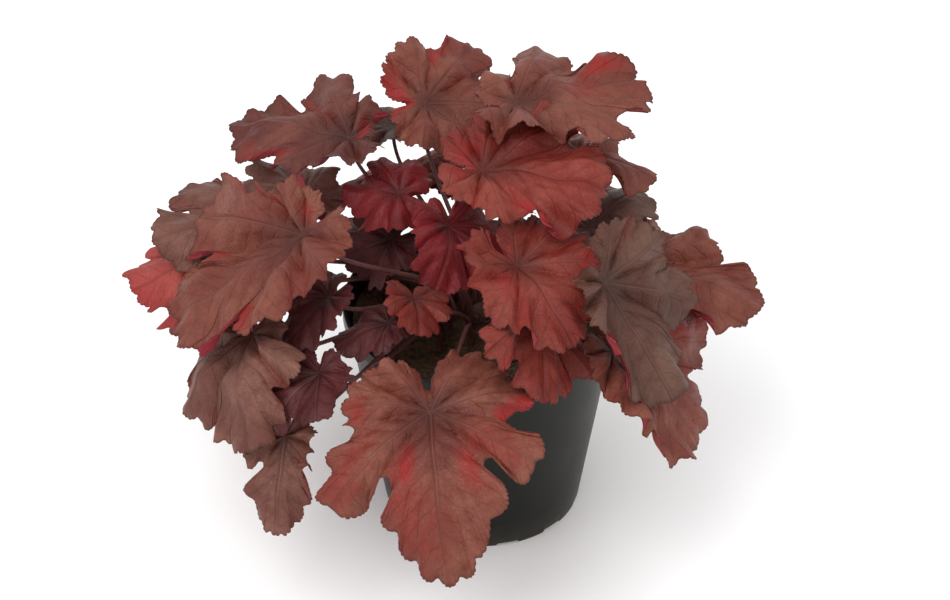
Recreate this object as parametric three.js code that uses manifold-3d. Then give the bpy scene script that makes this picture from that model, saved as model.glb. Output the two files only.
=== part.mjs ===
// A heuchera (coral bells) in its nursery pot, after a full-grown plant with ruffled red-brown leaves.
// Millimetres, +Z up. The origin is the centre of the pot's foot, on the surface it stands on; the front
// of the plant faces -Y. Every leaf is one solid, blade and petiole together, and stands in its own hole
// in the potting soil round the crown.

import * as THREE from 'three';
import { mergeVertices } from 'three/addons/utils/BufferGeometryUtils.js';
import Module from 'manifold-3d';

const wasm = await Module();
wasm.setup();

// ---- Driving dimensions ------------------------------------------------------------------------

const POT_HEIGHT = 145;
const POT_RIM_RADIUS = 85;
const POT_WALL_TOP_RADIUS = 82;
const POT_FOOT_RADIUS = 61.5;
const POT_WALL = 1.6;
const POT_LIP_HEIGHT = 9;
const POT_LIP_EASE = 1;
const POT_LIP_ROOT = 2;
const POT_SIDES = 48;

const FOOT_COUNT = 12;
const FOOT_NOTCH_DEGREES = 13;
const FOOT_NOTCH_HEIGHT = 1.5;
const FOOT_NOTCH_LENGTH = 14;

const SOIL_TOP = 131;
const SOIL_DISH = 2;
const SOIL_DISH_RADIUS = 49;
const FIT_GAP = 0.3;

const CROWN_RADIUS = 8;
const CROWN_HEIGHT = 11;
const CROWN_SIDES = 12;
const CROWN_KNOBS = 7;
const KNOB_RADIUS = 3.4;
const KNOB_PLACE = [0.45, 0.65];
const KNOB_LEVELS = [0.55, 0.75, 0.68, 0.62];

const BLADE_THICKNESS = 0.8;
const HEART_THICKNESS = 1.8;
const PETIOLE_TOP_RADIUS = 1.1;
const PETIOLE_BASE_RADIUS = 1.7;
const PETIOLE_SIDES = 5;
const PETIOLE_STEPS = 7;
const HOLE_RADIUS = 2.5;
const HOLE_SIDES = 6;
const HOLE_DEPTH = 12;
const HOLE_OVERCUT = 6;
const STRAIGHT_FOOT = 4;
const FOOT_PULL = 0.4;
const HEART_PULL = 0.35;
const HEART_OVERLAP = 0.5;

// Blades rise a little out of the heart before they droop, and their sides a little more.
const HEART_RISE = 10;
const SIDE_RISE = 12;
const LEAST_BEND = 1e-6;

// The directions that a leaf's five reaches and droops are given in, from its middle lobe, in degrees,
// with the basal lobes taking the values of the second lobes.
const LOBE_ANGLES = [-180, -135, -95, -52, 0, 52, 95, 135, 180];
const LOBE_BORDERS = [36, 79];

// The lobules on one side of the middle: degrees from it, share of the lobe's reach, and how far out the
// notch that follows lies, as a share of the reach between the two. A leaf's cut deepens or fills the
// deep notches.
const MIDDLE_LOBULE = { angle: 0, share: 1, notch: 0.96 };
const SIDE_LOBULES = [
  { angle: 11, share: 0.88, notch: 0.92 },
  { angle: 28, share: 0.68, notch: 0.66 },
  { angle: 47, share: 0.98, notch: 0.95 },
  { angle: 60, share: 0.98, notch: 0.93 },
  { angle: 74, share: 0.84, notch: 0.7 },
  { angle: 91, share: 1, notch: 0.94 },
  { angle: 107, share: 0.95, notch: 0.93 },
  { angle: 125, share: 0.85, notch: 0.93 },
  { angle: 144, share: 0.72, notch: 0.85 },
];
const SMALL_LEAF_LOBULES = [
  { angle: 20, share: 0.86, notch: 0.74 },
  { angle: 45, share: 0.97, notch: 0.92 },
  { angle: 64, share: 0.96, notch: 0.82 },
  { angle: 91, share: 1, notch: 0.9 },
  { angle: 117, share: 0.9, notch: 0.9 },
  { angle: 141, share: 0.76, notch: 0.8 },
];
const DEEP_NOTCH = 0.88;
const LOBULE_FULLNESS = 0.62;
const END_SHOULDER = 0.9;
const SINUS_SHARE = 0.22;
const SINUS_ANGLE = 172;
const SMALL_LEAF_REACH = 50;

// The leaves. heart: where the blade meets its petiole. turn: where the middle lobe points (degrees
// round from +X), how far it rises, and how far the blade leans to its left. reach and droop: the right
// second lobe, right side lobe, middle, left side lobe and left second lobe, in mm and in degrees.
// cut: how deep its deep notches are, where that isn't the usual. root: the petiole's hole, its distance
// from the middle of the pot and its direction. bow: how far the petiole bows aside, in mm. Hearts,
// reaches and bows are laid out in steps of 5 mm, and turns and droops in steps of 5 degrees.
const LEAVES = {
  leaf_front: {
    heart: [-30, -125, 160], turn: [-85, -25, 10], root: [26, -105], tone: 'brown',
    reach: [55, 90, 105, 80, 65], droop: [0, 45, 45, 15, 55], cut: 1.1,
  },
  leaf_left: {
    heart: [-105, -30, 215], turn: [195, -40, 5], root: [22, 178], tone: 'brown', bow: [5, -10, 0],
    reach: [40, 95, 100, 75, 55], droop: [-40, 0, 0, 10, 25], cut: 0.9,
  },
  leaf_far_left: {
    heart: [-160, 20, 155], turn: [195, 10, -5], root: [28, 165], tone: 'red',
    reach: [45, 60, 60, 65, 45], droop: [55, 60, 50, 45, 45], cut: 0.4,
  },
  leaf_left_back: {
    heart: [-135, 40, 170], turn: [195, 10, 0], root: [22, 150], tone: 'brown',
    reach: [45, 70, 70, 60, 40], droop: [25, 25, 30, 35, 25],
  },
  leaf_top_left: {
    heart: [-80, 50, 230], turn: [160, -5, -5], root: [16, 140], tone: 'brown', bow: [-5, 5, 0],
    reach: [30, 65, 80, 55, 45], droop: [-10, 20, 20, 10, -10], cut: 0.9,
  },
  leaf_top: {
    heart: [-35, 80, 235], turn: [10, -10, 20], root: [11, 110], tone: 'brown', bow: [0, -5, 0],
    reach: [40, 50, 65, 65, 45], droop: [15, 35, 25, 30, 0], cut: 0.6,
  },
  leaf_top_right: {
    heart: [20, 50, 255], turn: [20, 0, 0], root: [11, 60], tone: 'brown',
    reach: [50, 80, 85, 70, 35], droop: [0, 10, 20, 25, 30], cut: 0.5,
  },
  leaf_upper: {
    heart: [0, 0, 240], turn: [-20, 5, 5], root: [12, 20], tone: 'red', bow: [15, 10, 0],
    reach: [35, 50, 80, 65, 50], droop: [10, 35, 20, 0, 5], cut: 0.6,
  },
  leaf_right_front: {
    heart: [20, -60, 215], turn: [-50, -15, 0], root: [14, -60], tone: 'red',
    reach: [45, 50, 60, 50, 50], droop: [-35, 30, 45, 0, 10], cut: 0.3,
  },
  leaf_right: {
    heart: [70, -70, 210], turn: [-40, -55, -5], root: [20, -25], tone: 'olive', bow: [0, 5, 0],
    reach: [25, 35, 80, 70, 50], droop: [20, 0, 5, 15, -10], cut: 0.5,
  },
  leaf_far_right: {
    heart: [95, 10, 165], turn: [-25, -10, 0], root: [26, 10], tone: 'brown',
    reach: [30, 45, 80, 55, 40], droop: [10, 0, 15, 0, 10], cut: 0.4,
  },
  leaf_low_right: {
    heart: [75, -75, 165], turn: [-15, -50, 0], root: [26, -45], tone: 'brown', bow: [0, 15, 5],
    reach: [35, 55, 85, 90, 40], droop: [20, -5, 10, 0, 30], cut: 0.3,
  },
  leaf_middle_red: {
    heart: [-50, 20, 210], turn: [170, 0, -15], root: [12, 160], tone: 'red', bow: [0, -5, 0],
    reach: [30, 35, 35, 35, 30], droop: [35, 35, 40, 45, 25],
  },
  leaf_middle: {
    heart: [-20, -20, 215], turn: [-90, -15, -30], root: [12, -120], tone: 'red',
    reach: [25, 30, 45, 50, 45], droop: [25, 30, 50, 50, 25],
  },
  leaf_young: {
    heart: [-40, -45, 180], turn: [-80, 0, -15], root: [18, -116], tone: 'red',
    reach: [20, 25, 30, 25, 20], droop: [0, 25, 45, 25, 5],
  },
  leaf_front_right: {
    heart: [25, -70, 190], turn: [-70, -25, -35], root: [22, -75], tone: 'red',
    reach: [35, 55, 60, 60, 35], droop: [20, 30, 35, 40, 30],
  },
  leaf_low_left: {
    heart: [-135, -60, 165], turn: [-105, -20, 30], root: [28, -156], tone: 'brown', bow: [-10, -10, -5],
    reach: [45, 70, 75, 50, 25], droop: [25, 60, 60, 45, 50], cut: 1,
  },
  leaf_under_left: {
    heart: [-95, -90, 160], turn: [-90, -20, 30], root: [30, -145], tone: 'dark', bow: [5, -5, -5],
    reach: [35, 45, 35, 30, 20], droop: [20, 25, 15, 20, 15],
  },
  leaf_hanging: {
    heart: [-115, -105, 125], turn: [-100, -45, 10], root: [40, -130], tone: 'brown', bow: [5, -5, 15],
    reach: [20, 30, 60, 30, 20], droop: [20, 20, 25, 20, 20], cut: 1.1,
  },
  leaf_dark_left: {
    heart: [-90, -50, 185], turn: [-145, -25, 10], root: [22, -166], tone: 'dark',
    reach: [30, 35, 40, 30, 20], droop: [25, 30, 40, 30, 30],
  },
  leaf_small_left: {
    heart: [-55, -55, 170], turn: [-155, -10, -5], root: [22, -153], tone: 'dark',
    reach: [15, 20, 35, 25, 20], droop: [15, 25, 30, 25, 15],
  },
  leaf_shade: {
    heart: [-55, 15, 180], turn: [-175, -20, -30], root: [17, -174], tone: 'dark',
    reach: [25, 30, 35, 35, 25], droop: [15, 25, 30, 25, 15],
  },
  leaf_pointed: {
    heart: [60, 55, 215], turn: [-10, -5, -5], root: [18, 30], tone: 'brown', bow: [0, 5, 0],
    reach: [15, 25, 50, 30, 25], droop: [25, 35, 40, 45, 25],
  },
  leaf_left_fold: {
    heart: [-110, 45, 190], turn: [120, 10, 10], root: [24, 135], tone: 'brown', bow: [10, 15, 25],
    reach: [30, 40, 45, 40, 30], droop: [30, 30, 30, 30, 30], cut: 0.7,
  },
  leaf_right_back: {
    heart: [65, 25, 180], turn: [45, 5, 0], root: [16, 5], tone: 'olive',
    reach: [35, 40, 50, 40, 25], droop: [25, 25, 15, 25, 25],
  },
  leaf_left_olive: {
    heart: [-75, 35, 165], turn: [95, 0, 0], root: [32, 155], tone: 'olive',
    reach: [25, 30, 35, 35, 25], droop: [25, 30, 35, 30, 25],
  },
  leaf_back: {
    heart: [30, 100, 195], turn: [80, -15, 0], root: [22, 80], tone: 'brown',
    reach: [35, 50, 60, 50, 35], droop: [30, 45, 50, 45, 30],
  },
  leaf_back_top: {
    heart: [-55, 90, 210], turn: [115, -10, 0], root: [22, 115], tone: 'olive', bow: [-5, 5, 0],
    reach: [30, 40, 50, 40, 30], droop: [20, 30, 40, 30, 20],
  },
  leaf_back_left: {
    heart: [-50, 100, 165], turn: [120, -20, -5], root: [28, 125], tone: 'brown',
    reach: [45, 65, 75, 55, 35], droop: [30, 45, 50, 45, 30],
  },
  leaf_back_right: {
    heart: [65, 80, 170], turn: [70, -20, 0], root: [28, 45], tone: 'brown',
    reach: [40, 55, 65, 55, 40], droop: [40, 50, 55, 45, 30],
  },
  leaf_low_back: {
    heart: [5, 110, 160], turn: [95, -20, -5], root: [30, 92], tone: 'brown',
    reach: [30, 50, 70, 55, 40], droop: [30, 45, 50, 45, 30],
  },
  leaf_left_gap: {
    heart: [-110, 80, 150], turn: [140, -25, 0], root: [28, 145], tone: 'dark', bow: [0, 0, 10],
    reach: [25, 35, 55, 40, 25], droop: [30, 40, 50, 40, 30],
  },
};

// ---- Small helpers -----------------------------------------------------------------------------

const RADIANS = Math.PI / 180;
const MERGE_DISTANCE = 1e-4;

function plastic(colour) {
  return new THREE.MeshStandardMaterial({ color: colour, roughness: 0.45, metalness: 0 });
}

function foliage(colour) {
  return new THREE.MeshStandardMaterial({ color: colour, roughness: 0.55, metalness: 0 });
}

function earth(colour) {
  return new THREE.MeshStandardMaterial({ color: colour, roughness: 0.95, metalness: 0 });
}

// A closed mesh as a solid that can be cut and joined.
function solidOf(geometry) {
  const bare = geometry.clone();
  bare.deleteAttribute('normal');
  bare.deleteAttribute('uv');
  const merged = mergeVertices(bare, MERGE_DISTANCE);
  return new wasm.Manifold(new wasm.Mesh({
    numProp: 3,
    vertProperties: new Float32Array(merged.attributes.position.array),
    triVerts: new Uint32Array(merged.index.array),
  }));
}

function geometryOf(solid) {
  const mesh = solid.getMesh();
  const geometry = new THREE.BufferGeometry();
  geometry.setAttribute('position', new THREE.BufferAttribute(new Float32Array(mesh.vertProperties), 3));
  geometry.setIndex(new THREE.BufferAttribute(new Uint32Array(mesh.triVerts), 1));
  geometry.computeVertexNormals();
  return geometry;
}

// A round solid about the vertical axis, from [radius, height] points that start and end on the axis
// or close on themselves.
function turned(points, sides) {
  const profile = points.map(([radius, height]) => new THREE.Vector2(radius, height));
  const geometry = new THREE.LatheGeometry(profile, sides);
  geometry.rotateX(Math.PI / 2);
  return geometry;
}

// ---- Pot ---------------------------------------------------------------------------------------

const POT_SHOULDER = POT_HEIGHT - POT_LIP_HEIGHT;
const POT_INSIDE_TOP = POT_SHOULDER - POT_LIP_ROOT;
const POT_FLOOR_TOP = FOOT_NOTCH_HEIGHT + POT_WALL;

// The radius of the inside of the wall, which is straight from the floor to just under the lip.
function innerRadiusAt(height) {
  const share = (height - POT_FLOOR_TOP) / (POT_INSIDE_TOP - POT_FLOOR_TOP);
  return THREE.MathUtils.lerp(POT_FOOT_RADIUS, POT_WALL_TOP_RADIUS, share) - POT_WALL;
}

// A thin tapered wall with a rolled lip on a flat base.
function potBody() {
  return turned([
    [0, 0],
    [POT_FOOT_RADIUS, 0],
    [POT_WALL_TOP_RADIUS, POT_SHOULDER],
    [POT_RIM_RADIUS, POT_SHOULDER + POT_LIP_EASE],
    [POT_RIM_RADIUS, POT_HEIGHT - POT_LIP_EASE],
    [POT_RIM_RADIUS - POT_LIP_EASE, POT_HEIGHT],
    [POT_RIM_RADIUS - 2 * POT_WALL, POT_HEIGHT],
    [innerRadiusAt(POT_INSIDE_TOP), POT_INSIDE_TOP],
    [innerRadiusAt(POT_FLOOR_TOP), POT_FLOOR_TOP],
    [0, POT_FLOOR_TOP],
  ], POT_SIDES);
}

// A shallow gap in the edge of the base, which lets water out from under the pot.
function footNotch(direction) {
  const width = 2 * POT_FOOT_RADIUS * Math.sin(FOOT_NOTCH_DEGREES / 2 * RADIANS);
  const notch = new THREE.BoxGeometry(2 * FOOT_NOTCH_LENGTH, width, 2 * FOOT_NOTCH_HEIGHT);
  notch.translate(POT_FOOT_RADIUS, 0, 0);
  notch.rotateZ(direction);
  return solidOf(notch);
}

function makePot() {
  let pot = solidOf(potBody());
  for (let i = 0; i < FOOT_COUNT; i += 1) {
    pot = pot.subtract(footNotch((i + 0.5) * 2 * Math.PI / FOOT_COUNT));
  }
  return geometryOf(pot);
}

// ---- Leaves ------------------------------------------------------------------------------------

// Spreads a leaf's five right-to-left values smoothly round its heart.
function spread(values, angle) {
  const [right, sideRight, middle, sideLeft, left] = values;
  const back = (right + left) / 2;
  const round = [back, right, right, sideRight, middle, sideLeft, left, left, back];
  let i = 0;
  while (i < LOBE_ANGLES.length - 2 && angle > LOBE_ANGLES[i + 1]) {
    i += 1;
  }
  const share = THREE.MathUtils.smoothstep(angle, LOBE_ANGLES[i], LOBE_ANGLES[i + 1]);
  return THREE.MathUtils.lerp(round[i], round[i + 1], share);
}

// The blade's own axes: along the middle lobe, to its left and out of its upper face.
function bladeAxes([azimuth, pitch, lean]) {
  const a = azimuth * RADIANS;
  const p = pitch * RADIANS;
  const along = new THREE.Vector3(Math.cos(p) * Math.cos(a), Math.cos(p) * Math.sin(a), Math.sin(p));
  const up = new THREE.Vector3(-Math.sin(p) * Math.cos(a), -Math.sin(p) * Math.sin(a), Math.cos(p));
  const left = new THREE.Vector3().crossVectors(up, along);
  left.applyAxisAngle(along, lean * RADIANS);
  up.applyAxisAngle(along, lean * RADIANS);
  return { along, left, up };
}

// A point of the blade, in the direction `angle` from the middle lobe and `run` mm along the surface
// from the heart. Each direction leaves the heart a little upwards and bends down as an arc, so that it
// slopes by the droop at the lobe's reach. `below` is how far under the upper face the point lies.
function bladePoint(leaf, axes, angle, run, below) {
  const turn = angle * RADIANS;
  const rise = (HEART_RISE + SIDE_RISE * Math.sin(turn) ** 2) * RADIANS;
  const droop = spread(leaf.droop, angle) * RADIANS;
  const bend = (rise + droop) / spread(leaf.reach, angle) || LEAST_BEND;
  const slope = rise - bend * run;
  const out = (Math.sin(rise) - Math.sin(slope)) / bend + below * Math.sin(slope);
  const lift = (Math.cos(slope) - Math.cos(rise)) / bend - below * Math.cos(slope);
  return new THREE.Vector3(...leaf.heart)
    .addScaledVector(axes.along, out * Math.cos(turn))
    .addScaledVector(axes.left, out * Math.sin(turn))
    .addScaledVector(axes.up, lift);
}

// The lobules all the way round, from the sinus on the right to the sinus on the left.
function lobulesOf(leaf) {
  const side = leaf.reach[2] < SMALL_LEAF_REACH ? SMALL_LEAF_LOBULES : SIDE_LOBULES;
  const left = [MIDDLE_LOBULE, ...side];
  const right = side.map((lobule) => ({ ...lobule, angle: -lobule.angle })).reverse();
  return [...right, ...left].map((lobule) => {
    const width = Math.abs(lobule.angle);
    const lobe = LOBE_BORDERS.filter((border) => width < border).length;
    const reach = leaf.reach[lobule.angle < 0 ? lobe : 4 - lobe];
    return { angle: lobule.angle, reach: lobule.share * reach, notch: lobule.notch };
  });
}

// How far out the notch between two lobules lies.
function notchReach(leaf, one, next) {
  const notch = one.angle < 0 ? next.notch : one.notch;
  const depth = (1 - notch) * (notch < DEEP_NOTCH ? leaf.cut || 1 : 1);
  return (one.reach + next.reach) / 2 * (1 - depth);
}

// A lobule's shoulder towards its neighbour: where it turns down into the notch between them. An even
// line runs through the reaches of the lobules, and the shoulder lies on it.
function shoulder(lobule, border, neighbourReach) {
  const line = THREE.MathUtils.smoothstep(LOBULE_FULLNESS / 2, 0, 1);
  return [
    THREE.MathUtils.lerp(lobule.angle, border, LOBULE_FULLNESS),
    THREE.MathUtils.lerp(lobule.reach, neighbourReach, line),
  ];
}

// The blade's edge as [angle, reach] points: two shoulders for each lobule, then a notch.
function bladeEdge(lobules, leaf) {
  const edge = [];
  lobules.forEach((lobule, i) => {
    const last = lobules[i - 1];
    const next = lobules[i + 1];
    const before = last ? (last.angle + lobule.angle) / 2 : -SINUS_ANGLE;
    const after = next ? (next.angle + lobule.angle) / 2 : SINUS_ANGLE;
    edge.push(shoulder(lobule, before, last ? last.reach : END_SHOULDER * lobule.reach));
    edge.push(shoulder(lobule, after, next ? next.reach : END_SHOULDER * lobule.reach));
    if (next) {
      edge.push([after, notchReach(leaf, lobule, next)]);
    }
  });
  edge.push([180, SINUS_SHARE * spread(leaf.reach, 180)]);
  return edge;
}

// Rings of points from the heart out to the edge. Each is a list of [angle, reach], by angle. The outer
// ring bulges along the lobes and keeps clear of the deep notches between them. The last three numbers
// are the inner ring's share of the reach, and the two rings' shares of the sinus.
const INNER_RING = [-135, -90, -45, 0, 45, 90, 135, 180];
const OUTER_RING = [[0, 0.56], [20, 0.5], [38, 0.4], [58, 0.5], [80, 0.44], [98, 0.52], [125, 0.5]];
const RING_SHARES = [0.22, 0.4, 0.7];

function bladeRings(leaf) {
  const edge = bladeEdge(lobulesOf(leaf), leaf);
  const sinus = edge[edge.length - 1][1];
  const along = (angle, share) => [angle, share * spread(leaf.reach, angle)];
  const left = OUTER_RING.map(([angle, share]) => along(angle, share));
  const right = OUTER_RING.slice(1).map(([angle, share]) => along(-angle, share)).reverse();
  const outer = [...right, ...left, [180, RING_SHARES[2] * sinus]];
  const inner = INNER_RING.map((angle) => (
    angle === 180 ? [180, RING_SHARES[1] * sinus] : along(angle, RING_SHARES[0])
  ));
  return [inner, outer, edge];
}

// Triangles between two rings that both go once round the heart, walked by angle.
function stitch(inner, outer, addTriangle) {
  let i = 0;
  let j = 0;
  while (i < inner.length || j < outer.length) {
    const nextInner = i < inner.length ? inner[i][0] : Infinity;
    const nextOuter = j < outer.length ? outer[j][0] : Infinity;
    const a = (i + inner.length - 1) % inner.length;
    const b = (j + outer.length - 1) % outer.length;
    if (nextOuter <= nextInner) {
      addTriangle(['inner', a], ['outer', b], ['outer', j]);
      j += 1;
    } else {
      addTriangle(['inner', a], ['outer', b], ['inner', i]);
      i += 1;
    }
  }
}

// The blade: the same triangles on its upper and lower face, joined round the edge.
function makeBlade(leaf) {
  const axes = bladeAxes(leaf.turn);
  const rings = bladeRings(leaf);
  const positions = [];
  const triangles = [];
  const starts = [1];
  rings.forEach((ring) => starts.push(starts[starts.length - 1] + ring.length));
  const perFace = starts[starts.length - 1];
  const innerThickness = (HEART_THICKNESS + BLADE_THICKNESS) / 2;
  const thickness = [HEART_THICKNESS, innerThickness, BLADE_THICKNESS, BLADE_THICKNESS];
  for (let face = 0; face < 2; face += 1) {
    positions.push(...bladePoint(leaf, axes, 0, 0, face * thickness[0]).toArray());
    rings.forEach((ring, level) => {
      ring.forEach(([angle, run]) => {
        positions.push(...bladePoint(leaf, axes, angle, run, face * thickness[level + 1]).toArray());
      });
    });
  }
  const addBoth = (a, b, c) => {
    triangles.push(a, b, c);
    triangles.push(perFace + a, perFace + c, perFace + b);
  };
  rings[0].forEach((point, k) => {
    addBoth(0, starts[0] + (k + rings[0].length - 1) % rings[0].length, starts[0] + k);
  });
  for (let level = 0; level < 2; level += 1) {
    const first = { inner: starts[level], outer: starts[level + 1] };
    stitch(rings[level], rings[level + 1], (...corners) => {
      addBoth(...corners.map(([ring, k]) => first[ring] + k));
    });
  }
  const edgeStart = starts[2];
  const edgeCount = rings[2].length;
  for (let k = 0; k < edgeCount; k += 1) {
    const a = edgeStart + k;
    const b = edgeStart + (k + 1) % edgeCount;
    triangles.push(a, perFace + a, perFace + b);
    triangles.push(a, perFace + b, b);
  }
  const geometry = new THREE.BufferGeometry();
  geometry.setAttribute('position', new THREE.Float32BufferAttribute(positions, 3));
  geometry.setIndex(triangles);
  return geometry;
}

// The foot of a petiole, in the soil round the crown.
function petioleRoot([distance, direction]) {
  const x = distance * Math.cos(direction * RADIANS);
  const y = distance * Math.sin(direction * RADIANS);
  return new THREE.Vector3(x, y, SOIL_TOP - HOLE_DEPTH + FIT_GAP);
}

// A petiole: a slim tube, straight up out of its hole, then in one curve to the heart, which it meets
// square from below. It tapers from root to blade.
function makePetiole(leaf) {
  const { up } = bladeAxes(leaf.turn);
  const heart = new THREE.Vector3(...leaf.heart).addScaledVector(up, -HEART_OVERLAP);
  const root = petioleRoot(leaf.root);
  const soil = root.clone().setZ(SOIL_TOP + STRAIGHT_FOOT);
  const length = soil.distanceTo(heart);
  const bow = new THREE.Vector3(...(leaf.bow || [0, 0, 0]));
  const curve = new THREE.CubicBezierCurve3(
    soil,
    soil.clone().add(new THREE.Vector3(0, 0, FOOT_PULL * length)).add(bow),
    heart.clone().addScaledVector(up, -HEART_PULL * length).add(bow),
    heart,
  );
  const rows = [root];
  for (let step = 0; step < PETIOLE_STEPS; step += 1) {
    rows.push(curve.getPoint(step / (PETIOLE_STEPS - 1)));
  }
  return sweepTube(rows, (share) => THREE.MathUtils.lerp(PETIOLE_BASE_RADIUS, PETIOLE_TOP_RADIUS, share));
}

// A closed tube through the points, with the radius at each share of the way.
function sweepTube(points, radiusAt) {
  const count = points.length;
  const positions = [];
  const triangles = [];
  let side = new THREE.Vector3(1, 0, 0);
  points.forEach((point, k) => {
    const ahead = points[Math.min(k + 1, count - 1)].clone();
    const tangent = ahead.sub(points[Math.max(k - 1, 0)]).normalize();
    side = side.addScaledVector(tangent, -side.dot(tangent)).normalize();
    const other = new THREE.Vector3().crossVectors(tangent, side);
    const radius = radiusAt(k / (count - 1));
    for (let i = 0; i < PETIOLE_SIDES; i += 1) {
      const angle = i / PETIOLE_SIDES * 2 * Math.PI;
      const corner = point.clone()
        .addScaledVector(side, radius * Math.cos(angle))
        .addScaledVector(other, radius * Math.sin(angle));
      positions.push(...corner.toArray());
    }
  });
  for (let k = 0; k < count - 1; k += 1) {
    for (let i = 0; i < PETIOLE_SIDES; i += 1) {
      const a = k * PETIOLE_SIDES + i;
      const b = k * PETIOLE_SIDES + (i + 1) % PETIOLE_SIDES;
      triangles.push(a, b, b + PETIOLE_SIDES);
      triangles.push(a, b + PETIOLE_SIDES, a + PETIOLE_SIDES);
    }
  }
  const top = (count - 1) * PETIOLE_SIDES;
  for (let i = 1; i < PETIOLE_SIDES - 1; i += 1) {
    triangles.push(0, i + 1, i);
    triangles.push(top, top + i, top + i + 1);
  }
  const geometry = new THREE.BufferGeometry();
  geometry.setAttribute('position', new THREE.Float32BufferAttribute(positions, 3));
  geometry.setIndex(triangles);
  return geometry;
}

function makeLeaf(leaf) {
  return geometryOf(solidOf(makeBlade(leaf)).add(solidOf(makePetiole(leaf))));
}

// ---- Soil and crown ----------------------------------------------------------------------------

// The root ball: it fills the pot to a dished top, with a plain hole for each petiole and a socket for
// the crown.
function makeSoil() {
  const floor = POT_FLOOR_TOP + FIT_GAP;
  let soil = solidOf(turned([
    [0, floor],
    [innerRadiusAt(floor) - FIT_GAP, floor],
    [innerRadiusAt(SOIL_TOP) - FIT_GAP, SOIL_TOP],
    [SOIL_DISH_RADIUS, SOIL_TOP - SOIL_DISH],
    [2 * CROWN_RADIUS, SOIL_TOP],
    [0, SOIL_TOP],
  ], POT_SIDES));
  Object.values(LEAVES).forEach((leaf) => {
    const root = petioleRoot(leaf.root);
    const length = HOLE_DEPTH + HOLE_OVERCUT;
    const hole = new THREE.CylinderGeometry(HOLE_RADIUS, HOLE_RADIUS, length, HOLE_SIDES);
    hole.rotateX(Math.PI / 2);
    hole.translate(root.x, root.y, SOIL_TOP - HOLE_DEPTH + length / 2);
    soil = soil.subtract(solidOf(hole));
  });
  return geometryOf(soil);
}

// The woody crown: a low knobbly mound of old petiole bases in the middle of the pot.
function makeCrown() {
  const bottom = SOIL_TOP + FIT_GAP;
  let crown = solidOf(turned([
    [0, bottom],
    [CROWN_RADIUS, bottom],
    [0.9 * CROWN_RADIUS, bottom + 0.5 * CROWN_HEIGHT],
    [0.5 * CROWN_RADIUS, bottom + 0.9 * CROWN_HEIGHT],
    [0, bottom + CROWN_HEIGHT],
  ], CROWN_SIDES));
  for (let i = 0; i < CROWN_KNOBS; i += 1) {
    const angle = i * 2 * Math.PI / CROWN_KNOBS;
    const distance = KNOB_PLACE[i % KNOB_PLACE.length] * CROWN_RADIUS;
    const level = KNOB_LEVELS[i % KNOB_LEVELS.length] * CROWN_HEIGHT;
    const knob = new THREE.IcosahedronGeometry(KNOB_RADIUS, 1);
    knob.translate(distance * Math.cos(angle), distance * Math.sin(angle), bottom + level);
    crown = crown.add(solidOf(knob));
  }
  return geometryOf(crown);
}

// ---- The plant ---------------------------------------------------------------------------------

const LEAF_COLOURS = { brown: 0x7d4f45, red: 0x8f4340, dark: 0x4a2526, olive: 0x6a5742 };

function addPiece(group, name, geometry, material) {
  const mesh = new THREE.Mesh(geometry, material);
  mesh.name = name;
  group.add(mesh);
}

const plant = new THREE.Group();
plant.name = 'heuchera_in_pot';
addPiece(plant, 'pot', makePot(), plastic(0x35362f));
addPiece(plant, 'soil', makeSoil(), earth(0x2a211b));
addPiece(plant, 'crown', makeCrown(), earth(0x4a3428));
Object.entries(LEAVES).forEach(([name, leaf]) => {
  addPiece(plant, name, makeLeaf(leaf), foliage(LEAF_COLOURS[leaf.tone]));
});

export default plant;
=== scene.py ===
import math

import bpy
import numpy as np
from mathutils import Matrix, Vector


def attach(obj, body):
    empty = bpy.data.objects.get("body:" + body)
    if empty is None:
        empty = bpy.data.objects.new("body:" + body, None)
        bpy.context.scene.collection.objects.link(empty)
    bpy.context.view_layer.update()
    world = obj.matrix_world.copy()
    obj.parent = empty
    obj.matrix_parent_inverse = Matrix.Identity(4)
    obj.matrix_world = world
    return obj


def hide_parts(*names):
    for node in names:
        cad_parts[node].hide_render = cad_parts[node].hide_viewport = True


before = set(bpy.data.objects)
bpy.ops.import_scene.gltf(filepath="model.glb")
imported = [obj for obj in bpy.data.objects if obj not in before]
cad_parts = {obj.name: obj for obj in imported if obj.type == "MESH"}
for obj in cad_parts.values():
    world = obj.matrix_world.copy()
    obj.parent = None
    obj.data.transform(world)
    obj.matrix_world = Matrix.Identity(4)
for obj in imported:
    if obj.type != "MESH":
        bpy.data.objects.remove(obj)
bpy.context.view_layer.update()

# ---- Camera, floor and light -------------------------------------------------------------------
# The plant stands on a plain pale board in a pale room. One large soft lamp hangs high on the left
# in front of it, a weaker one fills from the right, and the room itself gives the rest.

CAMERA_TARGET = Vector((-0.0045, 0, 0.145))
CAMERA_DISTANCE = 1.8
CAMERA_ELEVATION = 37
LENS_LENGTH = 112.36

elevation = math.radians(CAMERA_ELEVATION)
camera = bpy.data.objects.new("camera", bpy.data.cameras.new("camera"))
camera.location = CAMERA_TARGET + CAMERA_DISTANCE * Vector((0, -math.cos(elevation), math.sin(elevation)))
camera.rotation_euler = (math.pi / 2 - elevation, 0, 0)
camera.data.lens = LENS_LENGTH
camera.data.sensor_width = 36
camera.data.clip_end = 40
bpy.context.scene.collection.objects.link(camera)
bpy.context.scene.camera = camera


def soft_lamp(name, place, size, power):
    """A square area lamp at `place` that faces the middle of the plant."""
    lamp = bpy.data.lights.new(name, "AREA")
    lamp.size = size
    lamp.energy = power
    holder = bpy.data.objects.new(name, lamp)
    holder.location = place
    holder.rotation_euler = (CAMERA_TARGET - Vector(place)).to_track_quat("-Z", "Y").to_euler()
    bpy.context.scene.collection.objects.link(holder)


soft_lamp("key_lamp", (-0.9, -1.1, 2.0), 1.6, 30)
soft_lamp("fill_lamp", (1.6, -0.6, 1.4), 1.8, 8)

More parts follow.
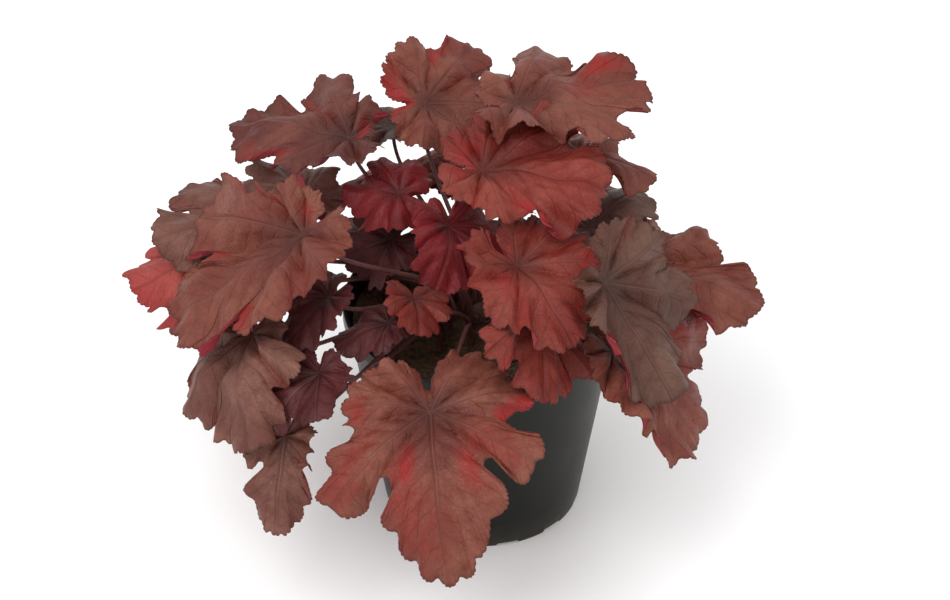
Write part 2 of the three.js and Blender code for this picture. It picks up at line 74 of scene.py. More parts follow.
room = bpy.data.worlds.new("room")
room.use_nodes = True
room.node_tree.nodes["Background"].inputs["Color"].default_value = (1, 1, 1, 1)
room.node_tree.nodes["Background"].inputs["Strength"].default_value = 1.0
bpy.context.scene.world = room
bpy.context.scene.view_settings.view_transform = "Standard"

MM = 0.001


def piece_from(name, points, triangles):
    """A mesh object at the origin from points in mm and triangles of point numbers, smooth shaded."""
    mesh = bpy.data.meshes.new(name)
    mesh.vertices.add(len(points))
    mesh.vertices.foreach_set("co", (np.asarray(points) * MM).astype(np.float32).ravel())
    mesh.loops.add(3 * len(triangles))
    mesh.loops.foreach_set("vertex_index", np.asarray(triangles, np.int32).ravel())
    mesh.polygons.add(len(triangles))
    mesh.polygons.foreach_set("loop_start", np.arange(len(triangles), dtype=np.int32) * 3)
    mesh.polygons.foreach_set("use_smooth", np.ones(len(triangles), bool))
    mesh.update(calc_edges=True)
    mesh.validate()
    piece = bpy.data.objects.new(name, mesh)
    bpy.context.scene.collection.objects.link(piece)
    return piece


def new_material(name, roughness=0.5, specular=0.5):
    """A material, its node tree and its Principled shader, ready to be fed."""
    material = bpy.data.materials.new(name)
    material.use_nodes = True
    skin = material.node_tree.nodes["Principled BSDF"]
    skin.inputs["Roughness"].default_value = roughness
    skin.inputs["Specular IOR Level"].default_value = specular
    return material, material.node_tree, skin


FLOOR_HALF = 6000
FLOOR_SINK = 0.05
floor_corners = np.array([[-1, -1, 0], [1, -1, 0], [1, 1, 0], [-1, 1, 0]]) * FLOOR_HALF
floor = piece_from("floor", floor_corners - np.array([0, 0, FLOOR_SINK]), [[0, 1, 2], [0, 2, 3]])
board, tree, skin = new_material("pale_board", roughness=0.9, specular=0.1)
skin.inputs["Base Color"].default_value = (0.96, 0.96, 0.96, 1)
floor.data.materials.append(board)

# ---- Pot ---------------------------------------------------------------------------------------
# A thin-walled nursery pot, injection moulded in recycled dark green-grey plastic. Its wall tapers to
# the foot, its lip is rolled outwards, and twelve shallow gaps in the edge of the base let water out.

POT_HEIGHT = 145
RIM_RADIUS = 85
WALL_TOP_RADIUS = 82
FOOT_RADIUS = 61.5
WALL = 1.6
LIP_HEIGHT = 9
FOOT_GAPS = 12
FOOT_GAP_DEGREES = 13
FOOT_GAP_HEIGHT = 1.5
FOOT_GAP_LENGTH = 14
FOOT_ROUND = 0.6
NECK_ROUND = 1.1
LIP_ROUND = 1.0
RIM_ROUND = 1.3
FLOOR_TOP = 3.4
POT_COLUMNS = 360
SHOULDER = POT_HEIGHT - LIP_HEIGHT
GAP_START = FOOT_RADIUS - FOOT_GAP_LENGTH


def lathe_triangles(rows, columns):
    """Triangles of a profile of `rows` points turned in `columns` steps, with faces out where the profile
    runs up the outside. Rows 0 and rows - 1 are single points on the axis."""
    j = np.arange(columns)
    nxt = (j + 1) % columns
    low = 1 + np.arange(rows - 3)[:, None] * columns
    a, b, c, d = low + j, low + nxt, low + columns + nxt, low + columns + j
    walls = np.concatenate([np.stack([a, b, c], -1).reshape(-1, 3), np.stack([a, c, d], -1).reshape(-1, 3)])
    top = 1 + (rows - 2) * columns
    bottom_fan = np.stack([np.zeros_like(j), 1 + nxt, 1 + j], -1)
    top_fan = np.stack([np.full_like(j, top), top - columns + j, top - columns + nxt], -1)
    return np.concatenate([bottom_fan, walls, top_fan])


def arc(middle, radius, start, end, steps):
    """[radius, height] points on a circle about `middle`, from one angle to another in degrees."""
    turn = np.radians(np.linspace(start, end, steps))
    return np.stack([middle[0] + radius * np.cos(turn), middle[1] + radius * np.sin(turn)], -1)


pot_profile = np.concatenate([
    [[0, 0]],
    np.linspace((12, 0), (GAP_START, 0), 3),
    [[GAP_START + 0.4, 0]],
    np.linspace((FOOT_RADIUS - 6, 0), (FOOT_RADIUS - 0.8, 0), 2),
    arc((FOOT_RADIUS - FOOT_ROUND, FOOT_ROUND), FOOT_ROUND, -70, 0, 4),
    np.linspace((FOOT_RADIUS + 0.3, 2.4), (WALL_TOP_RADIUS - 0.2, SHOULDER - 1.2), 24),
    arc((WALL_TOP_RADIUS + 0.9, SHOULDER - 1.2), NECK_ROUND, 180, 90, 5),
    arc((RIM_RADIUS - LIP_ROUND, SHOULDER + LIP_ROUND), LIP_ROUND, -85, 0, 5),
    np.linspace((RIM_RADIUS, SHOULDER + 2.6), (RIM_RADIUS, POT_HEIGHT - 1.5), 4),
    arc((RIM_RADIUS - RIM_ROUND, POT_HEIGHT - RIM_ROUND), RIM_ROUND, 0, 180, 10),
    arc((WALL_TOP_RADIUS - 2.4, SHOULDER + 1.2), 1.7, 30, -5, 4),
    np.linspace((WALL_TOP_RADIUS - WALL - 0.3, SHOULDER - 4), (FOOT_RADIUS - WALL + 0.4, 5), 14),
    [[0, FLOOR_TOP]],
])
pot_turn = np.arange(POT_COLUMNS) * 2 * np.pi / POT_COLUMNS
rows = pot_profile[1:-1]
gap_phase = np.degrees(pot_turn) % (360 / FOOT_GAPS) - 180 / FOOT_GAPS
in_gap = np.clip((FOOT_GAP_DEGREES / 2 + 0.25 - np.abs(gap_phase)) / 0.5, 0, 1)
near_edge = (rows[:, 0] > GAP_START + 0.2) & (rows[:, 1] < 0.95)
height = rows[:, 1][:, None] + FOOT_GAP_HEIGHT * near_edge[:, None] * in_gap
ring_points = np.stack([
    rows[:, :1] * np.cos(pot_turn), rows[:, :1] * np.sin(pot_turn), height], -1).reshape(-1, 3)
pot_points = np.concatenate([[[0, 0, pot_profile[0, 1]]], ring_points, [[0, 0, pot_profile[-1, 1]]]])
pot = piece_from("nursery_pot", pot_points, lathe_triangles(len(pot_profile), POT_COLUMNS))
pot.data.set_sharp_from_angle(angle=math.radians(48))


def add_node(tree, kind, settings=(), **sockets):
    """A shader node: settings are its own choices, and a socket takes a value or another node's output."""
    node = tree.nodes.new("ShaderNode" + kind)
    for key, value in dict(settings).items():
        setattr(node, key, value)
    for key, value in sockets.items():
        socket = node.inputs[int(key[1:])] if key[0] == "_" else node.inputs[key.replace("_", " ")]
        if isinstance(value, bpy.types.NodeSocket):
            tree.links.new(value, socket)
        else:
            socket.default_value = value
    return node


def srgb(code):
    """The linear colour of an sRGB hex code: ((c + 0.055) / 1.055) ** 2.4, or c / 12.92 when dark."""
    c = np.array([int(code[i:i + 2], 16) / 255 for i in (0, 2, 4)])
    linear = np.where(c > 0.04045, ((c + 0.055) / 1.055) ** 2.4, c / 12.92)
    return (*linear.tolist(), 1)


def math_node(tree, operation, *values):
    """The result of one sum on values or other nodes' outputs."""
    sockets = {f"_{number}": value for number, value in enumerate(values)}
    return add_node(tree, "Math", {"operation": operation}, **sockets).outputs[0]


def noise(tree, place, scale, detail, roughness=0.5):
    """Cloudy noise between 0 and 1, with `scale` clouds to the unit of `place`."""
    return add_node(
        tree, "TexNoise", Vector=place, Scale=scale, Detail=detail, Roughness=roughness).outputs["Fac"]


def eased(tree, value, start, end, low=0.0, high=1.0):
    """A value carried from one range to another, held at both ends."""
    return add_node(
        tree, "MapRange", _0=value, From_Min=start, From_Max=end, To_Min=low, To_Max=high).outputs[0]


def colour_mix(tree, factor, first, second):
    """One colour over another by a factor."""
    return add_node(tree, "Mix", {"data_type": "RGBA"}, _0=factor, _6=first, _7=second).outputs[2]


def stretched(tree, place, along, across):
    """A place for streaks: as many to the metre lengthways as `along`, and sideways as `across`."""
    return add_node(tree, "Mapping", Vector=place, Scale=(across, across, along)).outputs[0]


def bump(tree, height, strength, depth, settings=(), **more):
    """The normal of a surface with a fine relief, `depth` metres deep where the height goes from 0 to 1."""
    return add_node(
        tree, "Bump", settings, Strength=strength, Distance=depth, Height=height, **more).outputs[0]


plastic, tree, skin = new_material("pot_plastic", specular=0.16)
place = add_node(tree, "TexCoord").outputs["Object"]
moulding = noise(tree, place, 900.0, 3.0)
cloud = noise(tree, place, 14.0, 5.0, 0.6)
scuffs = noise(tree, stretched(tree, place, 420, 30), 1.6, 6.0, 0.7)
colour = colour_mix(tree, cloud, srgb("10110d"), srgb("171813"))
colour = colour_mix(tree, eased(tree, scuffs, 0.6, 0.76, 0.0, 0.35), colour, srgb("272822"))
above_floor = add_node(tree, "SeparateXYZ", Vector=place).outputs["Z"]
dust_level = eased(tree, above_floor, 0.0, 0.02, 0.5, 0.0)
dust = math_node(tree, "MULTIPLY", dust_level, noise(tree, place, 120.0, 6.0))
colour = colour_mix(tree, dust, colour, srgb("564f43"))
tree.links.new(colour, skin.inputs["Base Color"])
tree.links.new(eased(tree, cloud, 0.3, 0.7, 0.34, 0.46), skin.inputs["Roughness"])
tree.links.new(bump(tree, moulding, 0.25, 0.0002), skin.inputs["Normal"])
pot.data.materials.append(plastic)
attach(pot, "root")
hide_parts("pot")

# ---- Soil --------------------------------------------------------------------------------------
# Peat-based potting mix that fills the pot to a finger below the rim, slightly dished, with bits of
# bark and fibre lying on it.

SOIL_TOP = 131
SOIL_FLOOR = 5.2
SOIL_RADIUS = 79.0
SOIL_FOOT_RADIUS = 59.2
SOIL_RINGS = 70
SOIL_COLUMNS = 240
SOIL_DISH = 1.6

# Waves of the soil's surface: how many, how long and how high.
CLODS = (24, 7.0, 0.55)
HUMPS = (12, 22.0, 0.5)

# Bark chips: how many, the half sizes of the smallest and the largest, and how deep they lie.
CHIPS = 420
SMALLEST_CHIP = (0.8, 0.5, 0.25)
LARGEST_CHIP = (3.4, 1.7, 0.7)
CHIP_SINK = 0.9

soil_random = np.random.default_rng(11)


def lumpy(x, y, random, waves, length, height):
    """A rough sheet: the sum of `waves` sines of random direction, with lengths round `length` mm."""
    turn = random.uniform(0, 2 * np.pi, waves)
    number = 2 * np.pi / (length * random.uniform(0.6, 1.6, waves))
    start = random.uniform(0, 2 * np.pi, waves)
    across = x[..., None] * np.cos(turn) + y[..., None] * np.sin(turn)
    return height * np.sin(across * number + start).sum(-1) / math.sqrt(waves)


share = np.linspace(0, 1, SOIL_RINGS)[1:, None]
turn = np.arange(SOIL_COLUMNS) * 2 * np.pi / SOIL_COLUMNS
x = SOIL_RADIUS * share * np.cos(turn)
y = SOIL_RADIUS * share * np.sin(turn)
dish = -SOIL_DISH * np.sin(np.pi * share) ** 2
z = SOIL_TOP + dish + lumpy(x, y, soil_random, *CLODS) + lumpy(x, y, soil_random, *HUMPS)
surface = np.stack([x, y, z], -1)[::-1].reshape(-1, 3)
side_radius = np.array([[SOIL_FOOT_RADIUS], [SOIL_RADIUS]])
sides = np.stack([
    side_radius * np.cos(turn),
    side_radius * np.sin(turn),
    np.array([[SOIL_FLOOR], [SOIL_TOP - 4.0]]) * np.ones_like(turn)], -1).reshape(-1, 3)
soil_points = np.concatenate([[[0, 0, SOIL_FLOOR]], sides, surface, [[0, 0, SOIL_TOP]]])
soil_triangles = lathe_triangles(SOIL_RINGS + 3, SOIL_COLUMNS)

# The chips are flattened boxes with knocked corners, each turned its own way and half sunk.
corner = np.array([[i, j, k] for i in (-1, 1) for j in (-1, 1) for k in (-1, 1)], float)
chip_faces = np.array([
    [0, 1, 3], [0, 3, 2], [4, 6, 7], [4, 7, 5], [0, 4, 5], [0, 5, 1],
    [2, 3, 7], [2, 7, 6], [0, 2, 6], [0, 6, 4], [1, 5, 7], [1, 7, 3]])
size = soil_random.uniform(SMALLEST_CHIP, LARGEST_CHIP, (CHIPS, 3))
ragged = soil_random.uniform(0.55, 1.0, (CHIPS, 8, 3))
spin = soil_random.uniform(0, 2 * np.pi, CHIPS)
tilt = soil_random.uniform(-0.5, 0.5, CHIPS)
outwards = 0.96 * SOIL_RADIUS * np.sqrt(soil_random.uniform(0.03, 1, CHIPS))
bearing = soil_random.uniform(0, 2 * np.pi, CHIPS)
chip = corner * size[:, None] * ragged
lifted = chip[..., 2] * np.cos(tilt)[:, None] + chip[..., 0] * np.sin(tilt)[:, None]
flat_x = chip[..., 0] * np.cos(tilt)[:, None] - chip[..., 2] * np.sin(tilt)[:, None]
chip_x = flat_x * np.cos(spin)[:, None] - chip[..., 1] * np.sin(spin)[:, None]
chip_y = flat_x * np.sin(spin)[:, None] + chip[..., 1] * np.cos(spin)[:, None]
chip_points = np.stack([
    chip_x + (outwards * np.cos(bearing))[:, None],
    chip_y + (outwards * np.sin(bearing))[:, None],
    lifted + SOIL_TOP - CHIP_SINK + 0.2 * np.sin(9 * bearing)[:, None]], -1).reshape(-1, 3)
chip_triangles = (chip_faces + 8 * np.arange(CHIPS)[:, None, None]).reshape(-1, 3)
soil = piece_from(
    "potting_soil",
    np.concatenate([soil_points, chip_points]),
    np.concatenate([soil_triangles, chip_triangles + len(soil_points)]),
)
soil.data.set_sharp_from_angle(angle=math.radians(40))

earth, tree, skin = new_material("peat_mix", roughness=0.95, specular=0.2)
place = add_node(tree, "TexCoord").outputs["Object"]
crumbs = noise(tree, place, 420.0, 8.0, 0.7)
fibres = add_node(tree, "TexVoronoi", Vector=place, Scale=260.0).outputs["Distance"]
colour = colour_mix(tree, eased(tree, crumbs, 0.32, 0.72), srgb("241c16"), srgb("665039"))
tree.links.new(colour, skin.inputs["Base Color"])
crumb_height = math_node(tree, "ADD", crumbs, fibres)
tree.links.new(bump(tree, crumb_height, 0.8, 0.0008), skin.inputs["Normal"])
soil.data.materials.append(earth)
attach(soil, "root")
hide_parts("soil")

# ---- Crown -------------------------------------------------------------------------------------
# The woody stump at soil level: a short stem covered in the dried bases of old leaf stalks, which
# sit on it in a spiral as scales.

CROWN_RADIUS = 8
CROWN_HEIGHT = 11
CROWN_SCALES = 34
SCALE_HALF_WIDTH = 1.9
SCALE_LENGTH = 3.0
SCALE_THICKNESS = 1.25
GOLDEN_TURN = math.pi * (3 - math.sqrt(5))
CROWN_BASE = SOIL_TOP - 1.5
CROWN_ROWS = 60
CROWN_COLUMNS = 96

crown_share = np.linspace(0, 1, CROWN_ROWS)[1:-1, None]
crown_turn = np.arange(CROWN_COLUMNS) * 2 * np.pi / CROWN_COLUMNS
scale_number = np.arange(CROWN_SCALES)
scale_level = 0.08 + 0.86 * scale_number / CROWN_SCALES
scale_turn = scale_number * GOLDEN_TURN
level_off = (crown_share[..., None] - scale_level) * CROWN_HEIGHT
turn_off = np.arctan2(
    np.sin(crown_turn[None, :, None] - scale_turn), np.cos(crown_turn[None, :, None] - scale_turn))
base_radius = 0.9 * CROWN_RADIUS * np.sqrt(np.clip(1 - crown_share ** 2.6, 0, 1))
across = turn_off * np.maximum(base_radius, 1)[..., None]
# Each scale is a tongue that is highest at its upper end and thins downwards.
tongue = np.exp(-(across / SCALE_HALF_WIDTH) ** 2) * np.exp(-np.clip(level_off, 0, None) ** 2 / 0.5)
tongue = tongue * np.exp(-np.clip(-level_off, 0, None) / SCALE_LENGTH)
crown_radius = base_radius + SCALE_THICKNESS * tongue.max(-1) * (base_radius > 0)
crown_radius = np.minimum(crown_radius, CROWN_RADIUS + 0.6)
crown_z = CROWN_BASE + (CROWN_HEIGHT + 1.2) * crown_share * np.ones_like(crown_turn)
crown_rings = np.stack([
    crown_radius * np.cos(crown_turn), crown_radius * np.sin(crown_turn), crown_z], -1).reshape(-1, 3)
crown_points = np.concatenate([
    [[0, 0, CROWN_BASE]], crown_rings, [[0, 0, SOIL_TOP - 0.4 + CROWN_HEIGHT]]])
crown = piece_from("crown_of_old_stalk_bases", crown_points, lathe_triangles(CROWN_ROWS, CROWN_COLUMNS))

bark, tree, skin = new_material("crown_bark", roughness=0.85)
place = add_node(tree, "TexCoord").outputs["Object"]
strands = noise(tree, stretched(tree, place, 140, 900), 1.0, 6.0)
colour = colour_mix(tree, eased(tree, strands, 0.3, 0.75), srgb("20140f"), srgb("6a4a37"))
tree.links.new(colour, skin.inputs["Base Color"])
tree.links.new(bump(tree, strands, 0.7, 0.0005), skin.inputs["Normal"])
crown.data.materials.append(bark)
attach(crown, "root")
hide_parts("crown")

# ---- Leaf shape --------------------------------------------------------------------------------
# A heuchera leaf is one thin blade on a long stalk. The blade is palmate: main veins run out from the
# heart, each lobe is cut into round lobules, and the lobules into small teeth. It grew in one piece.

LOBE_ANGLES = np.array([-180, -135, -95, -52, 0, 52, 95, 135, 180.0])
HEART_RISE = 10
SIDE_RISE = 12
USUAL_CUT = 0.8
SMALL_LEAF_REACH = 50
SINUS_ANGLE = 174
SINUS_SHARE = 0.22

# The lobules on one side of the middle: degrees from it, share of the lobe's reach, and how far out the
# notch that follows lies, as a share of the reach between the two. A leaf's cut deepens or fills the
# deep notches. Most leaves have blunt lobes, and those cut deepest have slim ones.
MIDDLE_LOBULE = (0, 0.985, 0.985)
SLIM_LOBULES = [
    (8, 0.975, 0.96), (15.5, 0.86, 0.9), (27, 0.75, 0.6), (48, 1, 0.96), (60, 0.92, 0.93),
    (72, 0.76, 0.78), (87, 0.95, 0.96), (99, 1, 0.95), (112, 0.92, 0.92), (127, 0.83, 0.93),
    (142, 0.75, 0.92), (156, 0.66, 0.92), (167, 0.54, 0.9)]
BLUNT_LOBULES = [
    (12, 0.985, 0.96), (24.5, 0.94, 0.74), (40, 0.97, 0.96), (53, 1, 0.96), (66, 0.94, 0.82),
    (83, 0.97, 0.95), (97, 1, 0.95), (112, 0.95, 0.93), (127, 0.87, 0.93), (141, 0.78, 0.92),
    (154, 0.69, 0.92), (167, 0.56, 0.9)]
SLIM_CUT = 1
SMALL_LEAF_LOBULES = [
    (14, 0.98, 0.94), (28, 0.92, 0.8), (47, 1, 0.95), (63, 0.95, 0.86), (85, 0.99, 0.95),
    (104, 0.98, 0.92), (123, 0.9, 0.92), (142, 0.78, 0.92), (159, 0.64, 0.9)]

# The middle lobe's lobules lie within 32 degrees of the middle, and the side lobes' within 78.
MIDDLE_LOBE_END = 32
SIDE_LOBE_END = 78
LOBULE_SWING = 1.3
SHORTEST_LOBULE = 0.96

# Main veins, and the directions half way between them, where a blade folds into valleys.
VEINS = np.array([-146, -98, -53, 0, 53, 98, 146.0])
VALLEYS = np.array([-180, -125, -79, -38, 38, 79, 125, 180.0])

# Teeth and lobules of the edge. The steps are a tooth's columns, from notch to notch.
TOOTH_LENGTH = 4.2
TOOTH_DEPTH = 1.1
TOOTH_SIZES = (0.75, 1.25)
TOOTH_CUTS = (0.5, 1.2)
TOOTH_STEPS = np.array([0, 0.12, 0.3, 0.5, 0.7, 0.88])
LOBULE_ROUNDNESS = 2.5
OPEN_LOBULE_GAIN = 1.25
LOBULE_GAIN = 1.05
DEEP_NOTCH = 0.88
NOTCH_WIDENING = 0.035

# The rings of a blade's mesh are round up to this share of the way out, and closer to each other there.
ROUND_SHARE = 0.36
ROUND_RINGS_PER_MM = 0.065
OUTER_RINGS_PER_MM = 0.19
SURFACE_STEP = 0.5
WAYS_PER_DEGREE = 2

# Relief and thickness of the blade, in mm. Ruffles: how long a wave is along the edge, and how high.
# Unevenness: how many waves, how long and how high.
USUAL_FOLD = 0.1
GROOVE_DEPTH = 0.6
GROOVE_HALF_WIDTH = 1.6
SIDE_VEIN_SPACING = 11
SIDE_VEIN_SLANT = 0.85
SWELL_HEIGHT = 1.3
RUFFLES = ((52, 2.1), (27, 1.6), (13, 0.6))
UNEVENNESS = (10, 42.0, 2.6)
RIB_HEIGHT = 0.8
RIB_HALF_WIDTH = 1.1
BLADE_THICKNESS = 0.5
HEART_THICKNESS = 1.5
EDGE_THINNING = 0.4
HEART_SPREAD = 5

# The stalk, and the hole in the soil that it stands in.
STALK_TOP_RADIUS = 1.1
STALK_BASE_RADIUS = 1.7
TOP_FLARE = 0.5
BASE_FLARE = 0.35
STALK_GROOVE = 0.16
HOLE_DEPTH = 12
STALK_SIDES = 12
STALK_ROWS = 34

# Red wedges beside the notches: the strongest, their width as a share of a lobe's half, and the heart's
# own red.
STRONGEST_WEDGE = 0.5
WEDGE_WIDTH = 0.42
HEART_FLUSH = 0.6


def wrapped(angle):
    """The same direction between -180 and 180 degrees."""
    return (angle + 180) % 360 - 180


def smooth(share):
    """Smoothstep: 3 s^2 - 2 s^3 with s held between 0 and 1."""
    s = np.clip(share, 0, 1)
    return s * s * (3 - 2 * s)


def spread(values, angle):
    """A leaf's five right-to-left values, spread round its heart with a smoothstep between neighbours."""
    right, side_right, middle, side_left, left = values
    back = (right + left) / 2
    around = np.array([back, right, right, side_right, middle, side_left, left, left, back], float)
    i = np.searchsorted(LOBE_ANGLES[1:-1], angle)
    part = smooth((angle - LOBE_ANGLES[i]) / (LOBE_ANGLES[i + 1] - LOBE_ANGLES[i]))
    return around[i] + (around[i + 1] - around[i]) * part


def blade_axes(turn):
    """The blade's own axes: along its middle lobe, to its left, and out of its upper face."""
    azimuth, pitch, lean = np.radians(turn)
    level = np.array([math.cos(azimuth), math.sin(azimuth), 0])
    along = math.cos(pitch) * level + np.array([0, 0, math.sin(pitch)])
    up = -math.sin(pitch) * level + np.array([0, 0, math.cos(pitch)])
    left = np.cross(up, along)
    return along, left * math.cos(lean) + up * math.sin(lean), up * math.cos(lean) - left * math.sin(lean)


def flat_point(angle, run):
    """A point of the flattened blade: forward and left of the heart."""
    turn = np.radians(angle)
    return np.stack([run * np.cos(turn), run * np.sin(turn)], -1)


def lobules_of(leaf, random):
    """Directions and reaches of a leaf's lobules, and the directions, reaches and depth classes of the
    notches before, between and after them. A notch is listed with the lobule nearer the middle."""
    cut = leaf.get("cut", USUAL_CUT)
    side = SLIM_LOBULES if cut > SLIM_CUT else BLUNT_LOBULES
    if leaf["reach"][2] < SMALL_LEAF_REACH:
        side = SMALL_LEAF_LOBULES
    lobules = [(-a, s, d) for a, s, d in reversed(side)] + [MIDDLE_LOBULE] + side
    angle = np.array([lobule[0] for lobule in lobules], float)
    width = np.abs(angle)
    lobe = np.where(width < MIDDLE_LOBE_END, 2, np.where(width < SIDE_LOBE_END, 1, 0))
    lobe = np.where(angle < 0, lobe, 4 - lobe)
    reach = np.array([lobule[1] for lobule in lobules]) * np.array(leaf["reach"])[lobe]
    angle = angle + random.uniform(-LOBULE_SWING, LOBULE_SWING, len(angle)) * (width > 0)
    reach = reach * random.uniform(SHORTEST_LOBULE, 1.0, len(angle))
    listed = np.array([lobule[2] for lobule in lobules])
    depth = np.where(angle[:-1] < 0, listed[1:], listed[:-1])
    depth = 1 - (1 - depth) * np.where(depth < DEEP_NOTCH, 0.5 + 0.5 * cut, 1)
    depth = depth * random.uniform(0.98, 1.005, len(depth))
    sinus = SINUS_SHARE * spread(leaf["reach"], np.array([180.0]))[0]
    notch = np.concatenate([[1.15 * sinus], (reach[1:] + reach[:-1]) / 2 * depth, [1.15 * sinus]])
    border = np.concatenate([[-SINUS_ANGLE], (angle[1:] + angle[:-1]) / 2, [SINUS_ANGLE]])
    deep = np.concatenate([[False], depth < DEEP_NOTCH, [False]])
    return angle, reach, border, notch, deep, sinus


def blade_edge(leaf, random):
    """The edge of the flattened blade, six columns to a tooth, and each column's direction at the heart.
    Between two notches a lobule stands h (1 - |s|^2.5) off the line that joins them, s from -1 to 1 with
    its 0 at the tip. Deep notches have round bottoms. The teeth are small arcs cut in along the normal."""
    angle, reach, border, notch, deep, sinus = lobules_of(leaf, random)
    half = NOTCH_WIDENING * max(leaf["reach"])
    curves, guides, cuts = [], [], []
    for k in range(len(angle)):
        aside = np.degrees(half / notch[k:k + 2]) * deep[k:k + 2]
        start_angle, end_angle = border[k] + aside[0], border[k + 1] - aside[1]
        start = flat_point(start_angle, notch[k] + half * deep[k])
        end = flat_point(end_angle, notch[k + 1] + half * deep[k + 1])
        chord = end - start
        length = np.linalg.norm(chord)
        outward = np.array([chord[1], -chord[0]]) / length
        tip = flat_point(angle[k], reach[k]) - start
        is_open = deep[k] or deep[k + 1] or k in (0, len(angle) - 1)
        height = (tip @ outward) * (OPEN_LOBULE_GAIN if is_open else LOBULE_GAIN) + 0.03 * length
        peak = np.clip(tip @ chord / length ** 2, 0.3, 0.7)
        teeth = max(2, round((length + 1.3 * height) / TOOTH_LENGTH))
        sizes = random.uniform(*TOOTH_SIZES, teeth)
        starts = np.concatenate([[0], np.cumsum(sizes)[:-1]])
        u = ((starts[:, None] + sizes[:, None] * TOOTH_STEPS) / sizes.sum()).ravel()
        s = 2 * u ** (math.log(0.5) / math.log(peak)) - 1
        stand = height * (1 - np.abs(s) ** LOBULE_ROUNDNESS)
        points = start + u[:, None] * chord + stand[:, None] * outward
        curves.append(points)
        guides.append(start_angle + (end_angle - start_angle) * u)
        tooth_cut = np.repeat(random.uniform(*TOOTH_CUTS, teeth), len(TOOTH_STEPS))
        tooth = tooth_cut * np.tile(np.abs(2 * TOOTH_STEPS - 1) ** 2.5, teeth)
        cuts.append(tooth * (u > 0))
        if deep[k + 1]:
            t = TOOTH_STEPS
            curves.append(flat_point(
                border[k + 1] + (2 * t - 1) * aside[1],
                notch[k + 1] + half * np.abs(2 * t - 1) ** 2))
            guides.append(border[k + 1] + (2 * t - 1) * aside[1])
            cuts.append(np.zeros(6))
    t = TOOTH_STEPS
    back = SINUS_ANGLE + 2 * t * (180 - SINUS_ANGLE)
    curves.append(flat_point(back, sinus * (1 + 0.15 * (2 * t - 1) ** 2)))
    guides.append(back)
    cuts.append(np.zeros(6))
    points, guide, cut = np.concatenate(curves), np.concatenate(guides), np.concatenate(cuts)
    way = np.roll(points, -1, axis=0) - np.roll(points, 1, axis=0)
    way /= np.linalg.norm(way, axis=1, keepdims=True)
    outward = np.stack([way[:, 1], -way[:, 0]], -1)
    depth = TOOTH_DEPTH * min(1, max(leaf["reach"]) / 60)
    return points - depth * cut[:, None] * outward, guide


def between_rings(inner, inner_count, outer, outer_count):
    """Triangles from a ring of points to the next one out, which has a whole number of times as many."""
    ratio = outer_count // inner_count
    i = np.arange(inner_count)
    here, there = inner + i, inner + (i + 1) % inner_count
    step = [outer + (i * ratio + k) % outer_count for k in range(ratio + 1)]
    half = (ratio + 1) // 2
    first = [np.stack([here, step[k], step[k + 1]], -1) for k in range(half)]
    bridge = [np.stack([here, step[half], there], -1)]
    last = [np.stack([there, step[k], step[k + 1]], -1) for k in range(half, ratio)]
    return np.concatenate(first + bridge + last)


def blade_rings(leaf, edge, guide):
    """The flattened blade as rings of columns, each ring's share of the way out, and its stride: a ring
    keeps every sixth or second column, or all. The inner rings are round, and the outer ones take the
    shape of the edge more and more."""
    size = max(leaf["reach"])
    base = spread(leaf["reach"], wrapped(guide))
    pinch = np.interp(np.abs(wrapped(guide)), [0, 140, 180], [1, 1, 0.36])
    inner = flat_point(guide, ROUND_SHARE * base * pinch)
    core = np.array([0.1, 0.2, 0.3])
    near = np.linspace(0.3, 1, max(3, round(ROUND_RINGS_PER_MM * size)) + 1)[1:]
    middle = np.linspace(0, 0.93, max(7, round(OUTER_RINGS_PER_MM * size)) + 1)[1:]
    far = np.array([0.965, 0.988, 1])
    steps = np.concatenate([core, near])
    outer = np.concatenate([middle, far])
    flat = np.concatenate([
        steps[:, None, None] * inner, inner + (edge - inner) * outer[:, None, None]])
    share = np.concatenate([ROUND_SHARE * steps, ROUND_SHARE + (1 - ROUND_SHARE) * outer])
    keep = [6] * len(core) + [2] * (len(near) + len(middle)) + [1] * len(far)
    return flat, share, keep


def nearest_vein(angle):
    """For each direction: the main vein it belongs to, and how far it is from vein (0) to valley (1)."""
    lobe = np.clip(np.searchsorted(VALLEYS, angle) - 1, 0, len(VEINS) - 1)
    off = angle - VEINS[lobe]
    half = np.where(off > 0, VALLEYS[lobe + 1] - VEINS[lobe], VEINS[lobe] - VALLEYS[lobe])
    return lobe, np.abs(off) / half


def read_grid(grid, row, column):
    """Values of a grid at places between its lines, weighted by how near each of the four corners is."""
    i = np.clip(row.astype(int), 0, grid.shape[0] - 2)
    j = np.clip(column.astype(int), 0, grid.shape[1] - 2)
    a, b = row - i, column - j
    if grid.ndim == 3:
        a, b = a[..., None], b[..., None]
    return (grid[i, j] * (1 - a) * (1 - b) + grid[i + 1, j] * a * (1 - b)
            + grid[i, j + 1] * (1 - a) * b + grid[i + 1, j + 1] * a * b)


